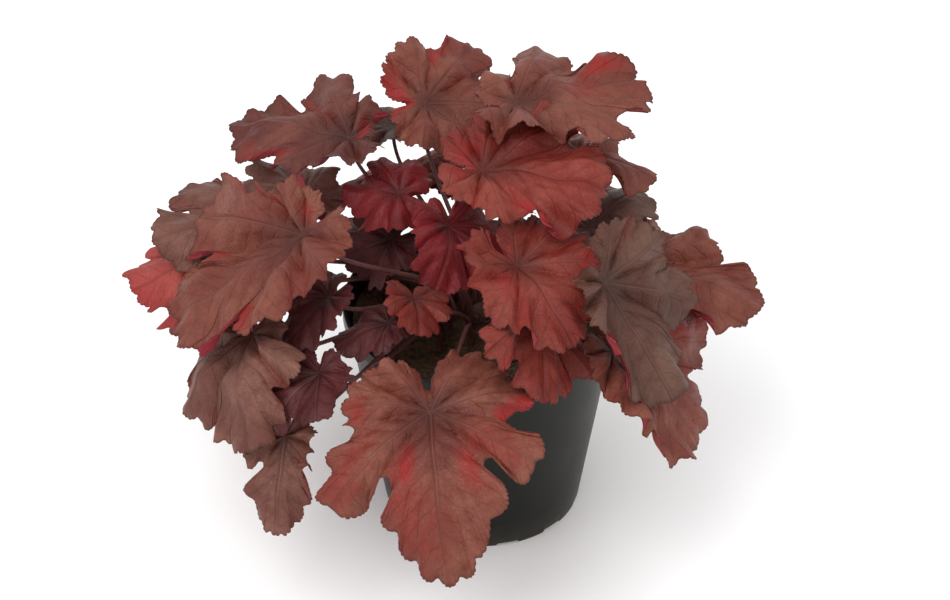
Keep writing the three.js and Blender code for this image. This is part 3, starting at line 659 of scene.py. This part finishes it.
def blade_surface(leaf, angle, run):
    """The blade before its relief, as points and normals. Each direction leaves the heart rising and bends
    down as an arc, so that it slopes by the droop at the lobe's reach; a curl adds to the slope towards
    the edge. The slope is summed outwards in half-millimetre steps, every half degree."""
    along, left, up = blade_axes(leaf["turn"])
    way = np.linspace(-180, 180, 360 * WAYS_PER_DEGREE + 1)
    out_to = np.arange(0, 1.35 * max(leaf["reach"]), SURFACE_STEP)[:, None]
    turn = np.radians(way)
    rise = np.radians(HEART_RISE + SIDE_RISE * np.sin(turn) ** 2)
    reach = spread(leaf["reach"], way)
    bend = (rise + np.radians(spread(leaf["droop"], way))) / reach
    slope = rise - bend * out_to
    for at, half_width, start, amount in leaf.get("curls", ()):
        beside = smooth(1 - np.abs(wrapped(way - at)) / half_width)
        slope = slope + np.radians(amount) * beside * smooth((out_to / reach - start) / (1 - start))
    out = np.cumsum(np.cos(slope), axis=0)[..., None] * SURFACE_STEP
    lift = np.cumsum(np.sin(slope), axis=0)[..., None] * SURFACE_STEP
    sideways = np.cos(turn)[:, None] * along + np.sin(turn)[:, None] * left
    grid = np.array(leaf["heart"], float) + out * sideways + lift * up
    normal = np.cross(np.gradient(grid, axis=0), np.gradient(grid, axis=1))
    normal /= np.linalg.norm(normal, axis=-1, keepdims=True) + 1e-12
    row, column = run / SURFACE_STEP, (angle + 180) * WAYS_PER_DEGREE
    facing = read_grid(normal, row, column)
    facing = facing / (np.linalg.norm(facing, axis=-1, keepdims=True) + 1e-12)
    return read_grid(grid, row, column), facing, up


def blade_relief(leaf, angle, run, share, around, random):
    """Height along the normal: lobes arch over their veins and fold down into the valleys, main veins are
    grooves, the skin swells between side veins, and the edge is ruffled in three wave lengths."""
    size = max(leaf["reach"])
    lobe, off = nearest_vein(angle)
    beside = np.radians(angle - VEINS[lobe])
    ahead = run * np.cos(beside)
    aside = np.abs(run * np.sin(beside))
    valley_reach = 0.45 * spread(leaf["reach"], angle)
    fading = np.clip(1.15 - share, 0, 1)
    fold = leaf.get("fold", USUAL_FOLD) * size * np.clip(run / valley_reach, 0, 1) ** 1.2
    fold = fold * (0.35 - off ** 1.5)
    groove = -GROOVE_DEPTH * np.exp(-(aside / GROOVE_HALF_WIDTH) ** 2) * fading * smooth(run / 6)
    side_vein = (ahead - SIDE_VEIN_SLANT * aside) / SIDE_VEIN_SPACING + 0.5 * (beside > 0)
    swell = SWELL_HEIGHT * (0.5 - 0.5 * np.cos(2 * np.pi * side_vein)) * smooth(aside / 6) * fading
    ruffle = 0
    for length, height in RUFFLES:
        waves = max(3, round(around[-1] / length))
        ruffle = ruffle + height * np.sin(2 * np.pi * waves * around / around[-1] + random.uniform(0, 6))
    ruffle = ruffle * leaf.get("frill", 1.0) * share ** 3 * min(1, size / 80)
    x = run * np.cos(np.radians(angle))
    y = run * np.sin(np.radians(angle))
    uneven = lumpy(x, y, random, *UNEVENNESS) * smooth(run / 25)
    return fold + groove + swell + ruffle + uneven


def stalk_mesh(leaf, up):
    """The stalk: a closed tube that stands straight in its hole and then follows a cubic curve from the
    soil to the heart. Its radius falls from base to top and flares a little at both ends."""
    distance, direction = leaf["root"]
    root = np.array([distance * math.cos(math.radians(direction)),
                     distance * math.sin(math.radians(direction)), SOIL_TOP - HOLE_DEPTH + 0.3])
    soil_point = np.array([root[0], root[1], SOIL_TOP + 4])
    heart = np.array(leaf["heart"]) - 0.4 * up
    length = np.linalg.norm(heart - soil_point)
    bow = np.array(leaf.get("bow", (0, 0, 0)), float)
    p1 = soil_point + np.array([0, 0, 0.4 * length]) + bow
    p2 = heart - 0.35 * length * up + bow
    t = np.linspace(0, 1, STALK_ROWS)[:, None]
    curve = ((1 - t) ** 3 * soil_point + 3 * t * (1 - t) ** 2 * p1
             + 3 * t * t * (1 - t) * p2 + t ** 3 * heart)
    spine = np.concatenate([root + (soil_point - root) * np.array([[0], [0.5]]), curve])
    tangent = np.gradient(spine, axis=0)
    tangent /= np.linalg.norm(tangent, axis=1, keepdims=True)
    guide = np.cross(spine[-1] - spine[0], (0.3, 0.9, 0.1))
    side = guide - (tangent @ guide)[:, None] * tangent
    side /= np.linalg.norm(side, axis=1, keepdims=True)
    other = np.cross(tangent, side)
    share = np.linspace(0, 1, len(spine))
    radius = STALK_BASE_RADIUS + (STALK_TOP_RADIUS - STALK_BASE_RADIUS) * share
    radius = radius + BASE_FLARE * np.exp(-share / 0.06) + TOP_FLARE * np.exp(-(1 - share) / 0.03)
    turn = np.arange(STALK_SIDES) * 2 * np.pi / STALK_SIDES
    groove = 1 - STALK_GROOVE * np.exp(-((turn - np.pi) / 0.5) ** 2)
    ring = side[:, None] * np.cos(turn)[:, None] + other[:, None] * np.sin(turn)[:, None]
    tube = (spine[:, None] + ring * (radius[:, None] * groove)[..., None]).reshape(-1, 3)
    points = np.concatenate([spine[:1], tube, spine[-1:]])
    return points, lathe_triangles(len(spine) + 2, STALK_SIDES)


def blade_triangles(columns, keep):
    """Triangles of the blade's upper face, from the heart outwards, and of the strip between the edges of
    both faces, and how many points a face has. The lower face's points follow the upper face's."""
    counts = [columns // stride for stride in keep]
    first = 1 + np.concatenate([[0], np.cumsum(counts)])
    i = np.arange(counts[0])
    rings = [np.stack([np.zeros_like(i), first[0] + i, first[0] + (i + 1) % counts[0]], -1)]
    for k in range(len(keep) - 1):
        rings.append(between_rings(first[k], counts[k], first[k + 1], counts[k + 1]))
    per_face = first[-1]
    rim = first[-2] + np.arange(columns)
    rim_next = np.roll(rim, -1)
    strip = np.concatenate([
        np.stack([rim, rim + per_face, rim_next + per_face], -1),
        np.stack([rim, rim_next + per_face, rim_next], -1)])
    return np.concatenate(rings), strip, per_face


def leaf_piece(name, leaf, random):
    """A whole leaf as one mesh: upper face, lower face, the thin edge between them, and the stalk."""
    edge, guide = blade_edge(leaf, random)
    flat, ring_share, keep = blade_rings(leaf, edge, guide)
    angle = np.degrees(np.arctan2(flat[..., 1], flat[..., 0]))
    run = np.linalg.norm(flat, axis=-1)
    share = ring_share[:, None] * np.ones_like(run)
    around = np.cumsum(np.linalg.norm(edge - np.roll(edge, 1, axis=0), axis=1))
    upper, normal, up = blade_surface(leaf, angle, run)
    upper = upper + blade_relief(leaf, angle, run, share, around, random)[..., None] * normal
    vein = VEINS[nearest_vein(angle)[0]]
    aside = np.abs(run * np.sin(np.radians(angle - vein)))
    rib = RIB_HEIGHT * np.exp(-(aside / RIB_HALF_WIDTH) ** 2) * np.clip(1 - share, 0, 1)
    thick = BLADE_THICKNESS * (1 - EDGE_THINNING * share ** 4) + rib
    thick = thick + (HEART_THICKNESS - BLADE_THICKNESS) * np.exp(-run / HEART_SPREAD)
    lower = upper - thick[..., None] * normal
    heart_top = upper[0].mean(0)
    heart_low = heart_top - HEART_THICKNESS * up
    face, strip, per_face = blade_triangles(len(guide), keep)
    stalk_points, stalk_faces = stalk_mesh(leaf, up)

    def kept(grid):
        """The points of a grid that the rings keep."""
        return np.concatenate([ring[::stride] for ring, stride in zip(grid, keep)])

    def on_both_faces(at_heart, grid):
        """Values of a grid for the points of both faces, and 0 for the stalk's."""
        one_face = np.concatenate([[at_heart], kept(grid)])
        return np.concatenate([one_face, one_face, np.zeros(len(stalk_points))])

    points = np.concatenate([[heart_top], kept(upper), [heart_low], kept(lower), stalk_points])
    triangles = np.concatenate([face, face[:, ::-1] + per_face, strip, stalk_faces + 2 * per_face])
    piece = piece_from(name, points, triangles)
    flush = flush_of(leaf, angle, run, share, random)
    for label, values in (
            ("heart_to_edge", on_both_faces(0, share)), ("flush", on_both_faces(HEART_FLUSH, flush))):
        layer = piece.data.attributes.new(label, "FLOAT", "POINT")
        layer.data.foreach_set("value", values.astype(np.float32))
    add_leaf_maps(piece, triangles, on_both_faces(0, angle), on_both_faces(0, run))
    slots = np.repeat([0, 1, 0, 2], [len(face), len(face), len(strip), len(stalk_faces)])
    piece.data.polygons.foreach_set("material_index", slots.astype(np.int32))
    piece.data.set_sharp_from_angle(angle=math.radians(60))
    return piece


def add_leaf_maps(piece, triangles, angle, run):
    """Two maps in cm. `vein` is the way along and across the nearest main vein, and `skin` is the way
    forward and left from the heart."""
    corner_angle = angle[triangles]
    corner_run = run[triangles]
    guide = corner_angle[np.arange(len(triangles)), corner_run.argmax(1)]
    centre = guide + (wrapped(corner_angle - guide[:, None]) * (corner_run > 0)).sum(1) / 3
    nearest = VEINS[nearest_vein(wrapped(centre))[0]]
    aside = np.radians(corner_angle - nearest[:, None])
    vein = np.stack([corner_run * np.cos(aside), corner_run * np.sin(aside)], -1) / 10
    flat = flat_point(corner_angle, corner_run) / 10
    for label, values in (("vein", vein), ("skin", flat)):
        layer = piece.data.uv_layers.new(name=label)
        layer.uv.foreach_set("vector", values.astype(np.float32).ravel())


def flush_of(leaf, angle, run, share, random):
    """How red each point is, from 0 to 1: wedges that open from the heart to the notches, some more and
    some less, and the patches that the leaf lists as (angle, share, half angle, half share, strength)."""
    lobe, off = nearest_vein(angle)
    sides = random.uniform(0, STRONGEST_WEDGE, 2 * len(VEINS))
    weight = sides[2 * lobe + (angle > VEINS[lobe])]
    red = weight * np.exp(-((1 - off) / WEDGE_WIDTH) ** 2) * smooth(run / (0.3 * max(leaf["reach"])))
    for at, middle, half_angle, half_share, strength in leaf.get("red", ()):
        patch = np.exp(-(wrapped(angle - at) / half_angle) ** 2 - ((share - middle) / half_share) ** 2)
        red = np.maximum(red, strength * patch)
    return red


# ---- Leaf skins --------------------------------------------------------------------------------
# The upper skin is satin and brown to brick red, with sunken dark veins and redder flushes near the
# notches. The lower skin is crimson with raised veins, and the stalk is a darker red-brown.


def vein_group():
    """The veins as a node group. Side veins are the lines where (along - 0.85 across) is a whole number of
    spacings, one side half a spacing ahead of the other. The fine net is the edge of a cell pattern."""
    tree = bpy.data.node_groups.new("leaf_veins", "ShaderNodeTree")
    interface = tree.interface
    spacing = interface.new_socket("Spacing", in_out="INPUT", socket_type="NodeSocketFloat")
    spacing.default_value = SIDE_VEIN_SPACING / 10
    for label in ("Rib", "Main Vein", "Side Vein", "Net", "Height"):
        interface.new_socket(label, in_out="OUTPUT", socket_type="NodeSocketFloat")
    inputs = tree.nodes.new("NodeGroupInput")
    outputs = tree.nodes.new("NodeGroupOutput")

    def shaken(place, by, scale, amount):
        """A place moved about by noise."""
        shake = add_node(tree, "TexNoise", Vector=by, Scale=scale, Detail=2.0).outputs["Color"]
        return add_node(
            tree, "VectorMath", {"operation": "MULTIPLY_ADD"},
            _0=shake, _1=(amount, amount, 0), _2=place).outputs[0]

    def line(distance, start, end):
        """1 on a line and 0 beside it, with a soft edge from one distance to another."""
        return add_node(
            tree, "MapRange", {"interpolation_type": "SMOOTHSTEP"}, _0=distance,
            From_Min=start, From_Max=end, To_Min=1.0, To_Max=0.0).outputs[0]

    vein = add_node(tree, "UVMap", {"uv_map": "vein"}).outputs[0]
    flat = add_node(tree, "UVMap", {"uv_map": "skin"}).outputs[0]
    across = add_node(tree, "SeparateXYZ", Vector=vein).outputs["Y"]
    wavy = add_node(tree, "SeparateXYZ", Vector=shaken(vein, flat, 1.3, 0.5))
    wavy_along = math_node(tree, "SUBTRACT", wavy.outputs["X"], 0.25)
    wavy_across = math_node(tree, "SUBTRACT", wavy.outputs["Y"], 0.25)
    wavy_aside = math_node(tree, "ABSOLUTE", wavy_across)
    slanted = math_node(tree, "MULTIPLY_ADD", wavy_aside, -SIDE_VEIN_SLANT, wavy_along)
    number = math_node(tree, "DIVIDE", slanted, inputs.outputs["Spacing"])
    is_left = math_node(tree, "GREATER_THAN", across, 0.0)
    number = math_node(tree, "MULTIPLY_ADD", is_left, 0.5, number)
    part = math_node(tree, "SUBTRACT", math_node(tree, "FRACT", number), 0.5)
    to_side_vein = math_node(tree, "SUBTRACT", 0.5, math_node(tree, "ABSOLUTE", part))
    cells = add_node(
        tree, "TexVoronoi", {"feature": "DISTANCE_TO_EDGE"},
        Vector=shaken(flat, flat, 5.0, 0.16), Scale=3.4)

    aside = math_node(tree, "ABSOLUTE", across)
    main = line(aside, 0.04, 0.2)
    side = line(to_side_vein, 0.0, 0.09)
    net = line(cells.outputs["Distance"], 0.0, 0.12)
    deepest = math_node(tree, "MAXIMUM", main, math_node(tree, "MULTIPLY", side, 0.75))
    deepest = math_node(tree, "MAXIMUM", deepest, math_node(tree, "MULTIPLY", net, 0.35))
    tree.links.new(line(aside, 0.01, 0.06), outputs.inputs["Rib"])
    tree.links.new(main, outputs.inputs["Main Vein"])
    tree.links.new(side, outputs.inputs["Side Vein"])
    tree.links.new(net, outputs.inputs["Net"])
    tree.links.new(math_node(tree, "SUBTRACT", 1.0, deepest), outputs.inputs["Height"])
    return tree


veins = vein_group()
RIB_COLOUR = "9c6558"


def upper_skin(name, plain, pale, red, dark):
    """The upper face of a leaf: its plain colour clouded with a paler one, flushed red, dark beside the
    veins, in the heart and on the very edge, and with thin pale ribs that fade on the way out."""
    material, tree, skin = new_material(name, specular=0.2)
    place = add_node(tree, "TexCoord").outputs["Object"]
    net = add_node(tree, "Group", {"node_tree": veins})
    share = add_node(tree, "Attribute", {"attribute_name": "heart_to_edge"}).outputs["Fac"]
    flush = add_node(tree, "Attribute", {"attribute_name": "flush"}).outputs["Fac"]
    clouds = noise(tree, place, 20.0, 5.0, 0.65)
    blots = noise(tree, place, 85.0, 6.0, 0.7)
    grain = noise(tree, place, 700.0, 4.0)
    flushed = math_node(tree, "MULTIPLY_ADD", blots, 0.8, flush)
    rib = math_node(tree, "MULTIPLY", net.outputs["Rib"], eased(tree, share, 0.1, 0.7, 0.28, 0.05))
    colour = srgb(plain)
    for factor, over in (
            (eased(tree, clouds, 0.42, 0.62), pale),
            (eased(tree, blots, 0.5, 0.75, 0.0, 0.5), dark),
            (eased(tree, flushed, 0.6, 1.2), red),
            (math_node(tree, "MULTIPLY", net.outputs["Net"], 0.1), dark),
            (math_node(tree, "MULTIPLY", net.outputs["Side Vein"], 0.16), dark),
            (math_node(tree, "MULTIPLY", net.outputs["Main Vein"], 0.24), dark),
            (rib, RIB_COLOUR),
            (eased(tree, share, 0.42, 0.04, 0.0, 0.75), dark),
            (eased(tree, share, 0.97, 1.0, 0.0, 0.6), dark),
            (eased(tree, grain, 0.35, 0.75, 0.0, 0.12), pale)):
        colour = colour_mix(tree, factor, colour, srgb(over))
    tree.links.new(colour, skin.inputs["Base Color"])
    tree.links.new(eased(tree, blots, 0.3, 0.7, 0.42, 0.6), skin.inputs["Roughness"])
    fine = bump(tree, grain, 0.3, 0.0003)
    relief = bump(tree, net.outputs["Height"], 0.5, 0.0009, Normal=fine)
    tree.links.new(relief, skin.inputs["Normal"])
    return material


def lower_skin():
    """The lower face of a leaf: crimson, paler on the raised veins."""
    material, tree, skin = new_material("leaf_underside", roughness=0.6, specular=0.3)
    place = add_node(tree, "TexCoord").outputs["Object"]
    net = add_node(tree, "Group", {"node_tree": veins})
    clouds = noise(tree, place, 40.0, 5.0)
    colour = colour_mix(tree, eased(tree, clouds, 0.35, 0.68), srgb("7d1f2c"), srgb("94313b"))
    side_vein = math_node(tree, "MULTIPLY", net.outputs["Side Vein"], 0.4)
    main_vein = math_node(tree, "MULTIPLY", net.outputs["Main Vein"], 0.6)
    colour = colour_mix(tree, side_vein, colour, srgb("a4545a"))
    colour = colour_mix(tree, main_vein, colour, srgb("a86064"))
    tree.links.new(colour, skin.inputs["Base Color"])
    relief = bump(tree, net.outputs["Height"], 0.5, 0.0008, {"invert": True})
    tree.links.new(relief, skin.inputs["Normal"])
    return material


def stalk_skin():
    """The stalk: dull red-brown with fine lengthwise streaks."""
    material, tree, skin = new_material("leaf_stalk", roughness=0.6)
    place = add_node(tree, "TexCoord").outputs["Object"]
    streaks = noise(tree, stretched(tree, place, 120, 1500), 1.0, 4.0)
    colour = colour_mix(tree, eased(tree, streaks, 0.3, 0.7), srgb("3d1c1a"), srgb("6d3a34"))
    tree.links.new(colour, skin.inputs["Base Color"])
    tree.links.new(bump(tree, streaks, 0.5, 0.0003), skin.inputs["Normal"])
    return material


UPPER_SKINS = {
    "brown": upper_skin("leaf_brown", "683127", "7a4638", "84201d", "32110e"),
    "red": upper_skin("leaf_red", "6c241d", "7e382d", "861b1a", "360e0c"),
    "dark": upper_skin("leaf_dark", "431a1b", "562728", "6a171a", "1f0a0b"),
    "olive": upper_skin("leaf_olive", "4e2e25", "604338", "6f2620", "2a1611"),
    "rose": upper_skin("leaf_rose", "8a2c2a", "984039", "9c2226", "5c1a1c"),
    "ash": upper_skin("leaf_ash", "5f372e", "7b5347", "7a2a26", "301711"),
    "wine": upper_skin("leaf_wine", "621217", "721e21", "800e14", "34070a"),
    "umber": upper_skin("leaf_umber", "552721", "683930", "7b1d1b", "2a100d"),
}
UNDERSIDE = lower_skin()
STALK = stalk_skin()

# ---- Leaves ------------------------------------------------------------------------------------
# Thirty-two leaves, each on its own stalk from the crown. The big brown ones stand round the outside,
# smaller red and dark ones fill the middle, and each grew as one piece of blade and stalk.

# Sizes are in mm and degrees. heart: where the blade meets its stalk. turn: where the middle lobe points,
# round from +X, how far it rises, and how far the blade leans to its left. root: the stalk's distance and
# direction from the pot's middle. bow: how far the stalk swings aside. reach and droop: the right second
# lobe, right side lobe, middle, left side lobe and left second lobe. cut: how deep the notches are.
# curls: angle, half width, share of the way out where it starts, and how far the edge turns up.
# red: redder patches, as flush_of says. frill and fold: how ruffled the edge is and how deep it folds.
LEAVES = {
    "leaf_front": dict(
        heart=(-30, -125, 160), turn=(-85, -25, 10), root=(26, -105), tone="brown",
        reach=(55, 90, 105, 80, 65), droop=(0, 45, 45, 15, 55), cut=1.1,
        curls=((86, 16, 0.7, 70), (-100, 20, 0.6, -25), (30, 14, 0.7, -20)),
        red=((-27, 0.42, 11, 0.18, 0.95), (28, 0.5, 12, 0.22, 0.75), (84, 0.9, 12, 0.2, 1),
             (-20, 0.7, 30, 0.35, 0.45), (45, 0.6, 30, 0.5, 0.4), (-60, 0.8, 22, 0.5, 0.4),
             (-92, 0.85, 16, 0.2, 0.6))),
    "leaf_left": dict(
        heart=(-105, -30, 215), turn=(195, -40, 5), root=(22, 178), tone="brown", bow=(5, -10, 0),
        reach=(40, 95, 100, 75, 55), droop=(-40, 0, 0, 10, 25), cut=0.9,
        curls=((-130, 24, 0.45, 60), (33, 10, 0.5, 45), (-34, 10, 0.5, 40), (95, 20, 0.6, -30)),
        red=((-140, 0.4, 26, 0.3, 0.8), (34, 0.92, 9, 0.16, 0.9), (-34, 0.9, 8, 0.16, 0.7),
             (60, 0.7, 30, 0.3, 0.2))),
    "leaf_far_left": dict(
        heart=(-160, 20, 155), turn=(195, 10, -5), root=(28, 165), tone="rose",
        reach=(45, 60, 60, 65, 45), droop=(55, 60, 50, 45, 45), cut=0.4),
    "leaf_left_back": dict(
        heart=(-135, 40, 170), turn=(195, 10, 0), root=(22, 150), tone="ash",
        reach=(45, 70, 70, 60, 40), droop=(25, 25, 30, 35, 25)),
    "leaf_top_left": dict(
        heart=(-80, 50, 230), turn=(160, -5, -5), root=(16, 140), tone="umber", bow=(-5, 5, 0),
        reach=(30, 65, 80, 55, 45), droop=(-10, 20, 20, 10, -10), cut=0.9,
        curls=((-140, 26, 0.3, 60), (40, 24, 0.6, -30)),
        red=((-150, 0.35, 45, 0.3, 1), (30, 0.9, 14, 0.2, 0.6))),
    "leaf_top": dict(
        heart=(-35, 80, 235), turn=(10, -10, 20), root=(11, 110), tone="brown", bow=(0, -5, 0),
        reach=(40, 50, 65, 65, 45), droop=(15, 35, 25, 30, 0), cut=0.6,
        red=((175, 0.7, 45, 0.5, 1), (75, 0.8, 10, 0.3, 0.8))),
    "leaf_top_right": dict(
        heart=(20, 50, 255), turn=(20, 0, 0), root=(11, 60), tone="brown",
        reach=(50, 80, 85, 70, 35), droop=(0, 10, 20, 25, 30), cut=0.5,
        curls=((16, 9, 0.65, 55), (-45, 22, 0.6, -25)),
        red=((17, 0.8, 8, 0.18, 0.9), (0, 0.5, 30, 0.2, 0.5))),
    "leaf_upper": dict(
        heart=(0, 0, 240), turn=(-20, 5, 5), root=(12, 20), tone="red", bow=(15, 10, 0),
        reach=(35, 50, 80, 65, 50), droop=(10, 35, 20, 0, 5), cut=0.6,
        curls=((-34, 10, 0.5, 45), (60, 20, 0.6, 25)),
        red=((-34, 0.85, 9, 0.2, 0.9), (180, 0.4, 80, 0.5, 0.7), (0, 0.7, 50, 0.4, 0.3)),
        frill=1.4),
    "leaf_right_front": dict(
        heart=(20, -60, 215), turn=(-50, -15, 0), root=(14, -60), tone="red",
        reach=(45, 50, 60, 50, 50), droop=(-35, 30, 45, 0, 10), cut=0.3,
        curls=((48, 18, 0.7, 45), (-34, 10, 0.6, 25)),
        red=((46, 0.9, 18, 0.2, 0.8), (-60, 0.4, 30, 0.3, 0.6)),
        frill=1.3),
    "leaf_right": dict(
        heart=(70, -70, 210), turn=(-40, -55, -5), root=(20, -25), tone="olive", bow=(0, 5, 0),
        reach=(25, 35, 80, 70, 50), droop=(20, 0, 5, 15, -10), cut=0.5,
        curls=((-34, 9, 0.5, 45),),
        red=((-34, 0.85, 9, 0.3, 0.9),)),
    "leaf_far_right": dict(
        heart=(95, 10, 165), turn=(-25, -10, 0), root=(26, 10), tone="brown",
        reach=(30, 45, 80, 55, 40), droop=(10, 0, 15, 0, 10), cut=0.4,
        curls=((-34, 10, 0.6, 35), (60, 18, 0.6, -30)),
        red=((-30, 0.6, 12, 0.4, 0.7),)),
    "leaf_low_right": dict(
        heart=(75, -75, 165), turn=(-15, -50, 0), root=(26, -45), tone="brown", bow=(0, 15, 5),
        reach=(35, 55, 85, 90, 40), droop=(20, -5, 10, 0, 30), cut=0.3,
        red=((75, 0.8, 24, 0.5, 1),)),
    "leaf_middle_red": dict(
        heart=(-50, 20, 210), turn=(170, 0, -15), root=(12, 160), tone="wine", bow=(0, -5, 0),
        reach=(30, 35, 35, 35, 30), droop=(35, 35, 40, 45, 25),
        curls=((0, 30, 0.5, 35), (90, 24, 0.5, 40), (-90, 24, 0.5, 40)),
        frill=2,
        fold=0.13),
    "leaf_middle": dict(
        heart=(-20, -20, 215), turn=(-90, -15, -30), root=(12, -120), tone="wine",
        reach=(25, 30, 45, 50, 45), droop=(25, 30, 50, 50, 25),
        frill=1.6,
        fold=0.12),
    "leaf_young": dict(
        heart=(-40, -45, 180), turn=(-80, 0, -15), root=(18, -116), tone="red",
        reach=(20, 25, 30, 25, 20), droop=(0, 25, 45, 25, 5),
        frill=1.5),
    "leaf_front_right": dict(
        heart=(25, -70, 190), turn=(-70, -25, -35), root=(22, -75), tone="red",
        reach=(35, 55, 60, 60, 35), droop=(20, 30, 35, 40, 30),
        frill=1.4),
    "leaf_low_left": dict(
        heart=(-135, -60, 165), turn=(-105, -20, 30), root=(28, -156), tone="ash", bow=(-10, -10, -5),
        reach=(45, 70, 75, 50, 25), droop=(25, 60, 60, 45, 50), cut=1,
        curls=((20, 20, 0.6, -30), (-60, 20, 0.6, 30))),
    "leaf_under_left": dict(
        heart=(-95, -90, 160), turn=(-90, -20, 30), root=(30, -145), tone="dark", bow=(5, -5, -5),
        reach=(35, 45, 35, 30, 20), droop=(20, 25, 15, 20, 15),
        curls=((30, 35, 0.5, 50), (95, 30, 0.5, 30))),
    "leaf_hanging": dict(
        heart=(-115, -105, 125), turn=(-100, -45, 10), root=(40, -130), tone="ash", bow=(5, -5, 15),
        reach=(20, 30, 60, 30, 20), droop=(20, 20, 25, 20, 20), cut=1.1,
        curls=((62, 34, 0.3, 95),)),
    "leaf_dark_left": dict(
        heart=(-90, -50, 185), turn=(-145, -25, 10), root=(22, -166), tone="dark",
        reach=(30, 35, 40, 30, 20), droop=(25, 30, 40, 30, 30)),
    "leaf_small_left": dict(
        heart=(-55, -55, 170), turn=(-155, -10, -5), root=(22, -153), tone="dark",
        reach=(15, 20, 35, 25, 20), droop=(15, 25, 30, 25, 15)),
    "leaf_shade": dict(
        heart=(-55, 15, 180), turn=(-175, -20, -30), root=(17, -174), tone="dark",
        reach=(25, 30, 35, 35, 25), droop=(15, 25, 30, 25, 15)),
    "leaf_pointed": dict(
        heart=(60, 55, 215), turn=(-10, -5, -5), root=(18, 30), tone="brown", bow=(0, 5, 0),
        reach=(15, 25, 50, 30, 25), droop=(25, 35, 40, 45, 25)),
    "leaf_left_fold": dict(
        heart=(-110, 45, 190), turn=(120, 10, 10), root=(24, 135), tone="ash", bow=(10, 15, 25),
        reach=(30, 40, 45, 40, 30), droop=(30, 30, 30, 30, 30), cut=0.7),
    "leaf_right_back": dict(
        heart=(65, 25, 180), turn=(45, 5, 0), root=(16, 5), tone="olive",
        reach=(35, 40, 50, 40, 25), droop=(25, 25, 15, 25, 25)),
    "leaf_left_olive": dict(
        heart=(-75, 35, 165), turn=(95, 0, 0), root=(32, 155), tone="olive",
        reach=(25, 30, 35, 35, 25), droop=(25, 30, 35, 30, 25)),
    "leaf_back": dict(
        heart=(30, 100, 195), turn=(80, -15, 0), root=(22, 80), tone="brown",
        reach=(35, 50, 60, 50, 35), droop=(30, 45, 50, 45, 30)),
    "leaf_back_top": dict(
        heart=(-55, 90, 210), turn=(115, -10, 0), root=(22, 115), tone="olive", bow=(-5, 5, 0),
        reach=(30, 40, 50, 40, 30), droop=(20, 30, 40, 30, 20)),
    "leaf_back_left": dict(
        heart=(-50, 100, 165), turn=(120, -20, -5), root=(28, 125), tone="brown",
        reach=(45, 65, 75, 55, 35), droop=(30, 45, 50, 45, 30)),
    "leaf_back_right": dict(
        heart=(65, 80, 170), turn=(70, -20, 0), root=(28, 45), tone="brown",
        reach=(40, 55, 65, 55, 40), droop=(40, 50, 55, 45, 30)),
    "leaf_low_back": dict(
        heart=(5, 110, 160), turn=(95, -20, -5), root=(30, 92), tone="brown",
        reach=(30, 50, 70, 55, 40), droop=(30, 45, 50, 45, 30)),
    "leaf_left_gap": dict(
        heart=(-110, 80, 150), turn=(140, -25, 0), root=(28, 145), tone="dark", bow=(0, 0, 10),
        reach=(25, 35, 55, 40, 25), droop=(30, 40, 50, 40, 30)),
}

for number, (node, leaf) in enumerate(LEAVES.items()):
    piece = leaf_piece(node + "_grown", leaf, np.random.default_rng(100 + number))
    for material in (UPPER_SKINS[leaf["tone"]], UNDERSIDE, STALK):
        piece.data.materials.append(material)
    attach(piece, "root")
    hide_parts(node)
